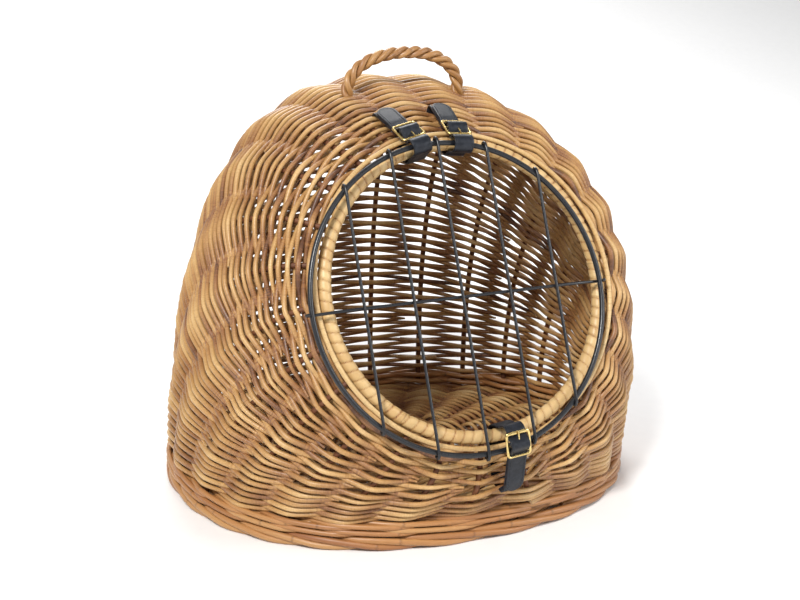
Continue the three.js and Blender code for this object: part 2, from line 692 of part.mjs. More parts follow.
// The prong: an eye round the centre bar and an arm whose tip rests on the front bar.
function prong({ buckle, matrix }) {
  const eye = BUCKLE_BAR_R + GAP + 1.5;
  const rest = BUCKLE_BAR_R + GAP;
  const tip = -BAR_SPACING - 2 * BUCKLE_BAR_R;
  const outer = new THREE.Shape();
  outer.absarc(0, 0, eye, THREE.MathUtils.degToRad(175), THREE.MathUtils.degToRad(130), false);
  outer.lineTo(tip + 3, rest + 1.5);
  outer.lineTo(tip, rest + 1);
  outer.lineTo(tip, rest);
  outer.lineTo(tip + 4, rest);
  outer.holes.push(new THREE.Path().absarc(0, 0, BUCKLE_BAR_R + 0.8 * GAP, 0, 2 * Math.PI, true));
  return new THREE.ExtrudeGeometry(outer, { depth: PRONG_WIDTH, bevelEnabled: false, curveSegments: 9 })
    .translate(buckle.x, buckle.y, -PRONG_WIDTH / 2)
    .applyMatrix4(matrix);
}

for (const side of ['left', 'right']) {
  const seat = seats[`hinge_${side}`];
  const line = [...chapeLine(seat), ...innerLine(seat), ...roundRing(seat), ...tongueLine(seat)];
  const strap = cut(leatherAlong(line), [prongSlot(seat), tongueCorners(seat)]);
  add(`hinge_strap_${side}`, strap.applyMatrix4(seat.matrix), leather);
  add(`hinge_buckle_${side}`, buckleFrame(seat), brass);
  add(`hinge_prong_${side}`, prong(seat), brass);
}

// The latch strap passes in front of the ring, so the run outside the basket is cut from the run inside.
const { latch } = seats;
const { buckle: latchBuckle } = latch;
const overRim = v2(-SLEEVE_R - 2 * LEATHER - 2 * GAP, SLEEVE_R + 3);
const loopLine = [...innerLine(latch), overRim];
const frontLine = [
  overRim.clone().add(v2(-0.2, 3 * GAP)),
  v2(latchBuckle.x - BAR_SPACING - 5, THREE.MathUtils.lerp(overRim.y, latchBuckle.y, 0.55)),
  ...tongueLine(latch),
];
const latchLeather = (line, cutters) => cut(leatherAlong(line), cutters).applyMatrix4(latch.matrix);
add('latch_loop', latchLeather(loopLine, []), leather);
add('latch_chape', latchLeather(chapeLine(latch), [prongSlot(latch)]), leather);
add('latch_strap', latchLeather(frontLine, [prongSlot(latch), tongueCorners(latch)]), leather);
add('latch_buckle', buckleFrame(latch), brass);
add('latch_prong', prong(latch), brass);

export default group;
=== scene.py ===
# %% [markdown]
# # A willow pet basket with a wire door
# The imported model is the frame: it says where every part of the basket is, in metres, and how the
# door, the latch strap and the three buckle prongs move. This lesson dresses that frame. Each rod of
# the weave is made as a real rod that goes in front of one stake and behind the next, because a
# painted pattern could never let daylight through the gaps or show a lumpy edge against the light.

# %% Load the frame
import math

import bpy
import numpy as np
from mathutils import Matrix, Vector


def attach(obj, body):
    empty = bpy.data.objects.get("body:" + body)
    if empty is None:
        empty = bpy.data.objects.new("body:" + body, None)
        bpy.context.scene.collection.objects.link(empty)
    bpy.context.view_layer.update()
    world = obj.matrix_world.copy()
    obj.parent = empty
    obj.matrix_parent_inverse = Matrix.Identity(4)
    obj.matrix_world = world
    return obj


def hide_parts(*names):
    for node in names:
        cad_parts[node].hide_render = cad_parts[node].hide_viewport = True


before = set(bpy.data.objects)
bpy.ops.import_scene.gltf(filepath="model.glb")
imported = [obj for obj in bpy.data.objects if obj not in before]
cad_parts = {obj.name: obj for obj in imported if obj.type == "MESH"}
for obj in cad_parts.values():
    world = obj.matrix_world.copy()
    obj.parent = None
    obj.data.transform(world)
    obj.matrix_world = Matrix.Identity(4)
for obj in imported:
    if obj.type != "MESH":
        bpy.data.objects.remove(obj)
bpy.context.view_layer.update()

MM = 0.001
TURN = 2 * math.pi
rng = np.random.default_rng(25)

# %% [markdown]
# ## Camera
# The basket is seen from a little to its left and a little above. A camera is an object with a
# matrix: its columns are its right, its up and the direction behind it, and then its place. Writing
# the matrix directly avoids guessing Euler angles. A 70 mm lens keeps the round mouth nearly round.

# %% Camera
RIGHT = (0.92050, -0.39073, 0.0)
ABOVE = (0.11025, 0.25974, 0.95936)
BEHIND = (-0.37485, -0.88310, 0.28217)
CAMERA_PLACE = (-0.5987, -1.3972, 0.6330)
camera = bpy.data.objects.new("camera", bpy.data.cameras.new("camera"))
turned = Matrix((RIGHT, ABOVE, BEHIND)).transposed().to_4x4()
camera.matrix_world = Matrix.Translation(CAMERA_PLACE) @ turned
camera.data.lens = 69.98
bpy.context.scene.collection.objects.link(camera)
bpy.context.scene.camera = camera
print("camera", round(math.degrees(math.asin(BEHIND[2])), 1), "degrees above the horizon")

# %% [markdown]
# ## Floor and light
# Willow is a glossy, rounded, golden material: it needs one large soft lamp high on the left to draw a
# bright line along each rod, a weaker one on the right so that the shaded side keeps its colour, and a
# pale world that shines through the gaps of the back wall. The sweep under it is one curved sheet,
# flat where the basket stands and rising far behind, so that no horizon shows.

# %% Backdrop and lamps
def sweep_profile(t):
    """Height of the backdrop at share t of its depth: flat, then a quarter circle, then straight up."""
    bend = np.clip((t - 0.62) / 0.3, 0, 1)
    return 1.2 * (1 - np.cos(bend * math.pi / 2)) + 2.5 * np.clip(t - 0.92, 0, 1)


across, deep = np.meshgrid(np.linspace(-5, 5, 21), np.linspace(0, 1, 41), indexing="ij")
sheet = np.stack([across, -3.5 + 8 * deep, sweep_profile(deep)], axis=-1)
corner = (np.arange(20)[:, None] * 41 + np.arange(40)).ravel()
backdrop_mesh = bpy.data.meshes.new("backdrop")
backdrop_mesh.from_pydata(sheet.reshape(-1, 3).tolist(), [],
                          np.stack([corner, corner + 41, corner + 42, corner + 1], axis=-1).tolist())
backdrop_mesh.shade_smooth()
backdrop = bpy.data.objects.new("backdrop", backdrop_mesh)
bpy.context.scene.collection.objects.link(backdrop)


def lamp(name, place, target, size, power, colour=(1, 1, 1)):
    """A square area lamp at place, turned so that its -Z points at target."""
    data = bpy.data.lights.new(name, "AREA")
    data.size, data.energy, data.color = size, power, colour
    lamp_object = bpy.data.objects.new(name, data)
    direction = Vector(place) - Vector(target)
    turned = direction.to_track_quat("Z", "Y").to_matrix().to_4x4()
    lamp_object.matrix_world = Matrix.Translation(place) @ turned
    bpy.context.scene.collection.objects.link(lamp_object)


BASKET_MIDDLE = (0, 0, 0.2)
lamp("key_lamp", (-1.5, -1.7, 2.3), BASKET_MIDDLE, 0.55, 92, (1, 0.99, 0.97))
lamp("fill_lamp", (1.9, -1.6, 1.2), BASKET_MIDDLE, 0.9, 27, (0.97, 0.98, 1))
lamp("back_lamp", (0.6, 2.1, 2.0), BASKET_MIDDLE, 1.4, 52)
world = bpy.data.worlds.new("studio")
world.use_nodes = True
world.node_tree.nodes["Background"].inputs["Color"].default_value = (1, 1, 1, 1)
world.node_tree.nodes["Background"].inputs["Strength"].default_value = 0.45
bpy.context.scene.world = world
bpy.context.scene.view_settings.view_transform = "Standard"

# %% [markdown]
# ## A small language for shader maths
# A node tree is a formula drawn with wires. Writing it as Python is shorter: `Value` wraps one output
# socket, and each arithmetic operator adds one Math node. `Finish.node` adds any other node: first its
# settings, such as a ramp's stops, and then the values or links of its sockets.

# %% Value and Finish
class Value:
    """One output socket that can be used in arithmetic."""

    def __init__(self, finish, socket):
        self.finish, self.socket = finish, socket

    def math(self, operation, *others):
        inputs = dict(enumerate([self, *others]))
        return self.finish.node("ShaderNodeMath", {"operation": operation}, inputs)

    def __add__(self, other):
        return self.math("ADD", other)

    def __mul__(self, other):
        return self.math("MULTIPLY", other)

    def __sub__(self, other):
        return self.math("SUBTRACT", other)

    def __rsub__(self, other):
        return self * -1 + other

    __radd__, __rmul__ = __add__, __mul__

    def clamp(self):
        return self.math("MINIMUM", 1.0).math("MAXIMUM", 0.0)


class Finish:
    """A material under construction: node() adds a node and returns one of its outputs."""

    def __init__(self, name):
        self.material = bpy.data.materials.new(name)
        self.material.use_nodes = True
        self.tree = self.material.node_tree
        self.shader = self.tree.nodes["Principled BSDF"]

    def node(self, kind, settings=None, inputs=None, output=0):
        node = self.tree.nodes.new(kind)
        for key, value in (settings or {}).items():
            if key == "stops":
                set_stops(node.color_ramp, value)
            else:
                setattr(node, key, value)
        for key, value in (inputs or {}).items():
            self.plug(node.inputs[key], value)
        return Value(self, node.outputs[output])

    def plug(self, socket, value):
        if isinstance(value, Value):
            self.tree.links.new(value.socket, socket)
        else:
            socket.default_value = value

    def set(self, **sockets):
        for key, value in sockets.items():
            self.plug(self.shader.inputs[key.replace("_", " ")], value)

    def noise(self, vector, scale, detail=2.0, roughness=0.5):
        inputs = {"Vector": vector, "Scale": scale, "Detail": detail, "Roughness": roughness}
        return self.node("ShaderNodeTexNoise", inputs=inputs)

    def xyz(self, x, y, z):
        return self.node("ShaderNodeCombineXYZ", inputs={0: x, 1: y, 2: z})

    def mix(self, share, one, other):
        return self.node("ShaderNodeMix", {"data_type": "RGBA"}, {0: share, 6: one, 7: other}, output=2)

    def bump(self, height, distance, strength=1.0):
        inputs = {"Height": height, "Distance": distance, "Strength": strength}
        return self.node("ShaderNodeBump", inputs=inputs)


def set_stops(ramp, stops):
    """Gives a colour ramp these (position, colour) stops, in order."""
    while len(ramp.elements) > 1:
        ramp.elements.remove(ramp.elements[-1])
    for index, (position, colour) in enumerate(stops):
        element = ramp.elements[0] if index == 0 else ramp.elements.new(position)
        element.position, element.color = position, (*colour, 1)


backdrop_finish = Finish("backdrop_paper")
tooth = backdrop_finish.noise(backdrop_finish.node("ShaderNodeTexCoord", output=3), 60, 3)
paper = backdrop_finish.mix(tooth, (0.86, 0.86, 0.86, 1), (0.9, 0.9, 0.9, 1))
backdrop_finish.set(Base_Color=paper, Roughness=0.85)
backdrop_mesh.materials.append(backdrop_finish.material)
print("nodes in the paper:", len(backdrop_finish.tree.nodes))

# %% [markdown]
# ## Willow
# A peeled and steamed willow rod is a smooth, slightly waxy cylinder. No two rods have the same
# colour: they run from straw to orange and brown, they darken a little along their length, faint
# streaks follow the grain, and every hand's breadth there is a bud scar. So the finish reads three
# things that the mesh carries: `tone`, one random number for each rod, to which the woven rows of the
# wall and the floor add painted shade where they slip between stakes or spokes, and a UV map whose u
# is the distance along the rod in metres and whose v goes once round it. The streak noise is fed the
# cosine and sine of v, so that it closes on itself round the rod without a seam. A v above one marks
# the cut end of a rod, where pale wood shows.

# %% Willow finishes
def willow_finish(name, stops, roughness, coat, cut=(0.62, 0.45, 0.25, 1)):
    """Colour = ramp(tone + drift along the rod + streaks); bump = streaks + grain + bud scars."""
    finish = Finish(name)
    uv = finish.node("ShaderNodeUVMap", {"uv_map": "rod"})
    along = finish.node("ShaderNodeSeparateXYZ", inputs={0: uv}, output=0)
    around = finish.node("ShaderNodeSeparateXYZ", inputs={0: uv}, output=1)
    tone = finish.node("ShaderNodeAttribute", {"attribute_name": "tone"}, output=2)
    turn = around * TURN
    ring_x, ring_y = turn.math("COSINE"), turn.math("SINE")
    streak = finish.noise(finish.xyz(along * 14 + tone * 90, ring_x * 1.1, ring_y * 1.1), 1.0, 3)
    grain = finish.noise(finish.xyz(along * 70 + tone * 50, ring_x * 6, ring_y * 6), 1.0, 2)
    drift = finish.noise(finish.xyz(along * 7 + tone * 130, tone * 9, 0.0), 1.0, 1)
    scar_at = (along * 9 + tone * 37).math("FRACT")
    scar = (1 - (scar_at - 0.5).math("ABSOLUTE") * 55).clamp()
    shade = (tone * 0.62 + drift * 0.5 + streak * 0.42 - 0.27).clamp()
    colour = finish.node("ShaderNodeValToRGB", {"stops": stops}, {0: shade})
    scarred = finish.mix(scar * 0.5, colour, (0.13, 0.055, 0.02, 1))
    is_cut = around.math("GREATER_THAN", 1.5)
    relief = finish.bump(streak * 0.5 + grain * 0.35 + scar * 0.8, 0.0006, 0.6)
    finish.set(Base_Color=finish.mix(is_cut, scarred, cut), Normal=relief,
               Roughness=streak * 0.25 + grain * 0.12 + roughness)
    finish.set(Coat_Weight=coat, Coat_Roughness=0.3)
    return finish.material


STRAW = [(0.0, (0.68, 0.48, 0.235)), (0.3, (0.54, 0.325, 0.125)), (0.55, (0.41, 0.215, 0.072)),
         (0.78, (0.25, 0.105, 0.036)), (1.0, (0.09, 0.034, 0.014))]
TAN = [(0.0, (0.52, 0.31, 0.125)), (0.4, (0.40, 0.185, 0.06)), (0.75, (0.24, 0.085, 0.026)),
       (1.0, (0.10, 0.034, 0.012))]
PALE = [(0.0, (0.70, 0.5, 0.24)), (0.6, (0.52, 0.32, 0.125)), (0.8, (0.4, 0.19, 0.06)),
        (1.0, (0.12, 0.045, 0.015))]
RUSSET = [(0.0, (0.22, 0.09, 0.032)), (0.5, (0.14, 0.048, 0.017)), (1.0, (0.07, 0.024, 0.01))]
willow = willow_finish("willow_rods", STRAW, 0.26, 0.2)
tan_willow = willow_finish("tan_willow_rods", TAN, 0.28, 0.2)
pale_willow = willow_finish("pale_willow_rods", PALE, 0.3, 0.2)
russet_willow = willow_finish("russet_willow_rods", RUSSET, 0.45, 0.05)
print("willow nodes:", len(willow.node_tree.nodes))

# %% [markdown]
# ## From arrays to a mesh
# Every piece here is a set of closed skins, and a skin is a grid: rings of points along a path. One
# function turns a grid into faces, and one puts many skins into one mesh through `foreach_set`, which
# copies whole arrays and is far quicker than adding faces one by one. Each ring's points run so that
# the faces look outwards, and an open end is closed by one flat face, as a cut rod is.

# %% Grids, tubes and pieces
def unit(vectors):
    """Vectors divided by their own lengths."""
    return vectors / np.maximum(np.linalg.norm(vectors, axis=-1, keepdims=True), 1e-12)


def skin(rings, u, tone=0.5, closed_along=False, v=None):
    """Faces between neighbouring rings. rings is (n, m, 3), and m runs round the path's direction.
    u is one number for each ring; tone is one number, or one for each ring or each point."""
    n, m = rings.shape[:2]
    index = np.arange(n * m).reshape(n, m)
    rows = np.arange(n if closed_along else n - 1)
    nexts = (rows + 1) % n
    wrap = (np.arange(m) + 1) % m
    quads = np.stack([index[rows], index[rows][:, wrap], index[nexts][:, wrap], index[nexts]], axis=-1)
    v = np.arange(m + 1) / m if v is None else v
    u = np.append(u, 2 * u[-1] - u[-2])
    u0, u1 = u[rows, None] + 0 * v[:-1], u[rows + 1, None] + 0 * v[:-1]
    v0, v1 = v[:-1] + 0 * u0, v[1:] + 0 * u0
    pairs = (u0, v0), (u0, v1), (u1, v1), (u1, v0)
    corners = np.stack([np.stack(pair, axis=-1) for pair in pairs], axis=-2)
    caps = [] if closed_along else [index[0][::-1], index[-1]]
    cap_uv = [] if closed_along else [(u[0], 2.0), (u[n - 1], 2.0)]
    tone = np.reshape(tone, (-1, 1)) if np.ndim(tone) == 1 else tone
    return {"points": rings.reshape(-1, 3), "quads": quads.reshape(-1, 4),
            "uv": corners.reshape(-1, 4, 2), "caps": caps, "cap_uv": cap_uv,
            "tone": np.broadcast_to(tone, (n, m)).ravel()}


def tube(path, radius, side, sides=8, tone=0.5, start=0.0, closed=False, flat=1.0):
    """Rings round a path: centre + radius (cos a * side' + flat sin a * (tangent x side')).

    side' is side with its part along the path taken away. u is the distance along the path."""
    if closed:
        tangent = unit(np.roll(path, -1, axis=0) - np.roll(path, 1, axis=0))
    else:
        tangent = unit(np.gradient(path, axis=0))
    side = np.broadcast_to(np.asarray(side, float), path.shape)
    side = unit(side - (side * tangent).sum(-1, keepdims=True) * tangent)
    other = np.cross(tangent, side)
    angle = TURN * np.arange(sides) / sides
    radius = np.broadcast_to(radius, (len(path),))[:, None, None]
    rings = path[:, None] + radius * (np.cos(angle)[:, None] * side[:, None]
                                      + flat * np.sin(angle)[:, None] * other[:, None])
    steps = np.linalg.norm(np.diff(path, axis=0), axis=-1)
    return skin(rings, start + np.append(0, np.cumsum(steps)), tone, closed_along=closed)


def piece(name, skins, finish, body, slot, *nodes, sharp=50):
    """One object from many skins. It rides on a body and stands for CAD nodes. slot is not used."""
    starts = np.append(0, np.cumsum([len(s["points"]) for s in skins]))
    quads = np.concatenate([s["quads"] + at for s, at in zip(skins, starts)])
    caps = [cap + at for s, at in zip(skins, starts) for cap in s["caps"]]
    cap_uv = [np.tile(uv, (len(cap), 1)) for s in skins for uv, cap in zip(s["cap_uv"], s["caps"])]
    corners = np.concatenate([quads.ravel(), *caps]).astype(np.int32)
    totals = np.concatenate([np.full(len(quads), 4), [len(cap) for cap in caps]]).astype(np.int32)
    uv = np.concatenate([np.concatenate([s["uv"].reshape(-1, 2) for s in skins]), *cap_uv])
    mesh = bpy.data.meshes.new(name)
    mesh.vertices.add(int(starts[-1]))
    points = np.concatenate([s["points"] for s in skins]).astype(np.float32)
    mesh.vertices.foreach_set("co", points.ravel())
    mesh.loops.add(len(corners))
    mesh.loops.foreach_set("vertex_index", corners)
    mesh.polygons.add(len(totals))
    mesh.polygons.foreach_set("loop_start", np.append(0, np.cumsum(totals)[:-1]).astype(np.int32))
    mesh.polygons.foreach_set("loop_total", totals)
    mesh.uv_layers.new(name="rod").data.foreach_set("uv", uv.astype(np.float32).ravel())
    tone = mesh.attributes.new("tone", "FLOAT", "POINT")
    tone.data.foreach_set("value", np.concatenate([s["tone"] for s in skins]).astype(np.float32))
    mesh.update(calc_edges=True)
    mesh.validate()
    mesh.shade_smooth()
    mesh.set_sharp_from_angle(angle=math.radians(sharp))
    made = bpy.data.objects.new(name, mesh)
    bpy.context.scene.collection.objects.link(made)
    mesh.materials.append(finish)
    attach(made, body)
    if nodes:
        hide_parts(*nodes)
    print(f"{name}: {len(skins)} skins, {sum(totals - 2)} triangles")
    return made


# %% [markdown]
# ## The shape of the basket
# The wall is not a dome and not a cylinder. Each stake starts upright on the oval floor outline and
# ends on the tilted round hoop of the mouth, and a cubic Bezier curve joins the two. Its four control
# points depend on the direction alone, so one formula gives the whole surface. The formula is worked
# out once on a table of directions and equal shares of each stake's length, and `on_wall` then looks
# up any place by direction, distance from the foot, and height outside the stake line.

# %% Wall surface
FLOOR_HALF_WIDTH, FLOOR_FRONT, FLOOR_BACK, SQUARENESS = 240 * MM, 222 * MM, 203 * MM, 2.2
FLOOR_CENTRE_Y = 31.7 * MM
HOOP_RADIUS, SLEEVE_R = 138 * MM, 6.5 * MM
HOOP_CENTRE = np.array([0, FLOOR_CENTRE_Y - 174.5 * MM, 235.5 * MM])
TILT = math.radians(24)
ACROSS, UP, OUT = np.array([[1, 0, 0], [0, math.sin(TILT), math.cos(TILT)],
                            [0, -math.cos(TILT), math.sin(TILT)]])
STAKES, FIRST_STAKE, STAKE_R = 25, math.radians(93.6), 3 * MM
BORDER_TOP, WALL_INSET = 14.3 * MM, 9 * MM


def outwards(angle):
    """The direction from the hoop's centre at an angle in the mouth's plane."""
    return np.cos(angle)[..., None] * ACROSS + np.sin(angle)[..., None] * UP


def by_direction(back, side, front, angle):
    """side + (back - front)/2 sin + ((back + front)/2 - side) sin^2 of the angle."""
    y = np.sin(angle)
    return side + (back - front) / 2 * y + ((back + front) / 2 - side) * y * y


def outline(angle, inset, height):
    """The floor's rounded oval, moved in by inset: each half axis times |cos| or |sin| ** (2/2.2)."""
    angle, inset, height = np.broadcast_arrays(angle, inset, height)
    power = 2 / SQUARENESS
    depth = np.where(np.sin(angle) > 0, FLOOR_BACK, FLOOR_FRONT)
    x = (FLOOR_HALF_WIDTH - inset) * np.sign(np.cos(angle)) * np.abs(np.cos(angle)) ** power
    y = (depth - inset) * np.sign(np.sin(angle)) * np.abs(np.sin(angle)) ** power
    return np.stack([x, FLOOR_CENTRE_Y + y, height], axis=-1)


def leaning(angle):
    """Along the wall away from the mouth, and out of the wall, where a stake meets the rim."""
    lean = np.radians(by_direction(45, 5, 20, angle))[..., None]
    away = np.cos(lean) * outwards(angle) - np.sin(lean) * OUT
    return away, np.sin(lean) * outwards(angle) + np.cos(lean) * OUT


def wall_tables(directions=600, shares=200, fine=400):
    """Points, outward normals and lengths of the wall on a table of direction by share of length."""
    angle = np.linspace(0, TURN, directions + 1)
    away = leaning(angle)[0]
    hoop = HOOP_CENTRE + HOOP_RADIUS * outwards(angle)
    foot = outline(angle, WALL_INSET, BORDER_TOP)
    rise = foot + by_direction(425, 95, 45, angle)[:, None] * MM * np.array([0, 0, 1])
    bend = hoop + by_direction(205, 75, 90, angle)[:, None] * MM * away
    top = hoop + (SLEEVE_R + 0.3 * MM) * away

    def bezier(t):
        t = t[..., None]
        return ((1 - t) ** 3 * foot[:, None] + 3 * t * (1 - t) ** 2 * rise[:, None]
                + 3 * t * t * (1 - t) * bend[:, None] + t ** 3 * top[:, None])

    t = np.linspace(0, 1, fine + 1)
    chords = np.linalg.norm(np.diff(bezier(np.tile(t, (directions + 1, 1))), axis=1), axis=-1)
    travelled = np.pad(np.cumsum(chords, axis=1), ((0, 0), (1, 0)))
    share = np.linspace(0, 1, shares + 1)
    even = np.array([np.interp(share * total[-1], total, t) for total in travelled])
    points = bezier(even)
    along = np.gradient(points, axis=1)
    sideways = np.gradient(np.concatenate([points[-3:-1], points, points[1:3]]), axis=0)[2:-2]
    return angle, points, unit(np.cross(sideways, along)), travelled[:, -1]


TABLE_ANGLE, TABLE_POINTS, TABLE_NORMALS, TABLE_LENGTHS = wall_tables()


def wall_length(angle):
    return np.interp(np.mod(angle, TURN), TABLE_ANGLE, TABLE_LENGTHS)


def look_up(table, angle, share):
    """Bilinear interpolation in a table by direction and share of the length."""
    rows, columns = np.array(table.shape[:2]) - 1
    i, j = np.mod(angle, TURN) / TURN * rows, np.clip(share, 0, 1) * columns
    i0, j0 = np.minimum(i.astype(int), rows - 1), np.minimum(j.astype(int), columns - 1)
    a, b = (i - i0)[..., None], (j - j0)[..., None]
    return ((1 - a) * (1 - b) * table[i0, j0] + a * (1 - b) * table[i0 + 1, j0]
            + (1 - a) * b * table[i0, j0 + 1] + a * b * table[i0 + 1, j0 + 1])


def on_wall(angle, distance, height):
    """(point, outward normal) at a direction, a distance along the stake and a height outside it."""
    angle, distance, height = np.broadcast_arrays(angle, distance, height)
    share = distance / wall_length(angle)
    normal = unit(look_up(TABLE_NORMALS, angle, share))
    return look_up(TABLE_POINTS, angle, share) + height[..., None] * normal, normal


print("stakes are", np.round(TABLE_LENGTHS.min(), 3), "to", np.round(TABLE_LENGTHS.max(), 3), "m long")

# %% [markdown]
# ## Planning the weave
# The back wall is six times as tall as the wall under the mouth, and every row must still lie close
# on the row below. A weaver solves this with short rows: a rod goes only part of the way round, and
# its thin tips die away between the longer rows. Eight rows run all the way round above the foot and
# eight below the rim, as one long spiral. Between them lie pairs of short rows, each spanning only the
# stakes tall enough to need it. The pairs are stacked in bit-reversed order (middle, quarter, three
# quarters and so on), so that the ones that stop first are spread evenly and the rows fan out without
# a step. With an odd number of stakes, going in front of one and behind the next, each row
# automatically passes on the other side of each stake from the row below.

# %% Plan the rows
WALE_HEIGHT, RIM_ZONE = 16 * MM, 5.1 * MM
LOW_ROWS = TOP_ROWS = 8
WEAVE_START = (13 + np.arange(STAKES)) % STAKES  # stakes in weaving order, from the front
stake_angle = FIRST_STAKE + TURN / STAKES * (13 + np.arange(STAKES))
room = wall_length(stake_angle) - WALE_HEIGHT - RIM_ZONE
pitch = by_direction(5.2, 4.5, 4.4, stake_angle) * MM


def bit_reversed(number):
    """The van der Corput fraction of a number: its binary digits after the point, reversed."""
    digits = reversed(bin(number)[2:])
    return sum(0.5 ** (place + 1) for place, digit in enumerate(digits) if digit == "1")


extra = np.maximum(np.rint((room / pitch - LOW_ROWS - TOP_ROWS) / 2), 0).astype(int)
peak = int(extra.argmax())
extra[:peak] = np.maximum.accumulate(extra[:peak])
extra[peak:] = np.maximum.accumulate(extra[peak:][::-1])[::-1]
extra[0] = extra[-1] = 0
pairs = sorted(range(int(extra.max())), key=lambda p: bit_reversed(p + 1))
present = np.ones((LOW_ROWS + 2 * len(pairs) + TOP_ROWS, STAKES), bool)
for place, pair in enumerate(pairs):
    present[LOW_ROWS + 2 * place:LOW_ROWS + 2 * place + 2] = extra > pair
closed_rows = np.r_[0:LOW_ROWS, len(present) - TOP_ROWS:len(present)]
parity = (present.cumsum(axis=0) - 1)[:, peak] % 2  # 0 if the row passes outside even stakes
print("rows at each stake:", present.sum(axis=0))


def settle_rows(rounds=60, pull=0.11, push=0.89):
    """Distances of every row at every stake. Rows start evenly stacked; then, again and again, each
    place moves towards a straight line along its row (pull) and the middle of its neighbours (push)."""
    rank = present.cumsum(axis=0) - 1
    at = np.where(present, (rank + 0.5) / present.sum(axis=0) * room, np.nan)
    for _ in range(rounds):
        from_top = room - at
        means = []
        for grid in (at, from_top):
            before, after = np.roll(grid, 1, axis=1), np.roll(grid, -1, axis=1)
            before[closed_rows[1:], 0] = grid[closed_rows[:-1], -1]
            after[closed_rows[:-1], -1] = grid[closed_rows[1:], 0]
            before[closed_rows[0], 0] = after[closed_rows[-1], -1] = np.nan
            before = np.where(np.isnan(before), grid, before)
            after = np.where(np.isnan(after), grid, after)
            means.append((before + after) / 2)
        share = at / room
        straight = (1 - share) * means[0] + share * (room - means[1])
        moved = at.copy()
        for q in range(STAKES):
            rows = present[:, q]
            stack = np.concatenate([[-at[rows, q][0]], at[rows, q], [2 * room[q] - at[rows, q][-1]]])
            middle = (stack[:-2] + stack[2:]) / 2
            moved[rows, q] += (0.5 * pull * (straight[rows, q] - at[rows, q])
                               + 0.5 * push * (middle - at[rows, q]))
        at = moved
    return at + WALE_HEIGHT


row_distance = settle_rows()
spacing = np.concatenate([np.diff(row_distance[present[:, q], q]) for q in range(STAKES)]) / MM
print("row spacing in mm:", np.round(spacing.min(), 2), "to", np.round(spacing.max(), 2))

# %% [markdown]
# ## Laying the rods
# A row is a list of crossings, one at each stake, either outside or inside it. A taut rod is nearly
# straight between two stakes and bends sharply round each, so the height above the stake line goes
# from one side to the other almost as a straight line whose corners are then softened a little. A
# short row's tip goes on past its last stake, thins, and dies away in the wedge between the rows
# below and above. Long runs are cut into rods of about a metre, whose ends overlap inside the basket
# behind a stake. Each rod tapers from butt to tip and has its own tone.

# %% Weavers
STEPS = 10  # points between two stakes
ROD_BUTT, ROD_TIP, WISP = 2.8 * MM, 2.3 * MM, 1.2 * MM
CORNER = 1.07  # makes up for the height lost when a corner is softened
TIP_STEPS, TUCK_STEPS, FAR = 12, 9, 99  # a tip's and a tuck's length in steps; past any tip
TUCK_DEPTH = 2.2  # in radii
steady = np.arange(STEPS) / STEPS
taut = 0.75 * steady + 0.25 * (1 - np.cos(np.pi * steady)) / 2


def stretch(values, shape):
    """Values at the crossings, filled in between them: a + (b - a) * shape."""
    between = values[:-1, None] + (values[1:] - values[:-1])[:, None] * shape
    return np.append(between.ravel(), values[-1])


def soften(values, times):
    """Each value replaced by a quarter of each neighbour and half of itself, its ends kept."""
    for _ in range(times):
        inner = (values[:-2] + 2 * values[1:-1] + values[2:]) / 4
        values = np.concatenate([values[:1], inner, values[-1:]])
    return values


def run_of(angle, distance, outside):
    """Angles, distances and sides (-1 inside to 1 outside) along a run of crossings."""
    side = CORNER * soften(stretch(outside, taut), 1)
    return stretch(angle, steady), soften(stretch(distance, steady), 2), side


def laid_rod(run, span, tuck=0.0, tips=(False, False)):
    """One rod along part of a run. tuck lowers its start inside the basket; a tip thins to a wisp.
    It is darker where it slips between two stakes: painted shade, standing in for the shadow that falls there."""
    angle, distance, side = (values[span] for values in run)
    count = len(angle)
    share = np.linspace(0, 1, count) if rng.random() < 0.5 else np.linspace(1, 0, count)
    radius = (ROD_BUTT + (ROD_TIP - ROD_BUTT) * share) * rng.uniform(0.92, 1.05)
    step = np.arange(count)
    from_end = np.minimum(step + FAR * (not tips[0]), step[::-1] + FAR * (not tips[1]))
    radius = WISP + (radius - WISP) * np.clip(from_end / TIP_STEPS, 0, 1) ** 0.7
    sunk = TUCK_DEPTH * radius * tuck * np.clip(1 - step / TUCK_STEPS, 0, 1) ** 0.7
    height = side * (STAKE_R + radius) - sunk
    path, normal = on_wall(angle, distance, height)
    # The last term is painted shade: the rod's colour is darkened where it passes between two stakes, in place
    # of the shadow there.
    tone = np.clip(rng.normal(0.3, 0.24), 0, 0.9) + 0.42 * np.clip(1 - side ** 2, 0, 1)
    return tube(path, radius, normal, 8, tone, rng.uniform(0, 9))


def cut_run(run, inside_first, tips=(False, False)):
    """Cuts a run into rods of 18 to 26 crossings, each cut where the run passes inside a stake."""
    crossings, cuts = (len(run[0]) - 1) // STEPS, [0]
    while crossings - cuts[-1] > 30:
        cuts.append(cuts[-1] - cuts[-1] % 2 + 2 * int(rng.integers(9, 14)) + inside_first)
    cuts.append(crossings)
    rods = []
    for start, end in zip(cuts[:-1], cuts[1:]):
        span = slice(max(start * STEPS - 4 * (start > 0), 0), min(end * STEPS + 4, len(run[0]) - 1) + 1)
        ends = (tips[0] and start == 0, tips[1] and end == crossings)
        rods.append(laid_rod(run, span, float(start > 0), ends))
    return rods


def wedge_end(row, q):
    """Where a short row's tip points to at a stake beyond the row's end: between its neighbours."""
    there = np.flatnonzero(present[:, q])
    above = np.searchsorted(there, row)
    return row_distance[there[above - 1:above + 1], q].mean()


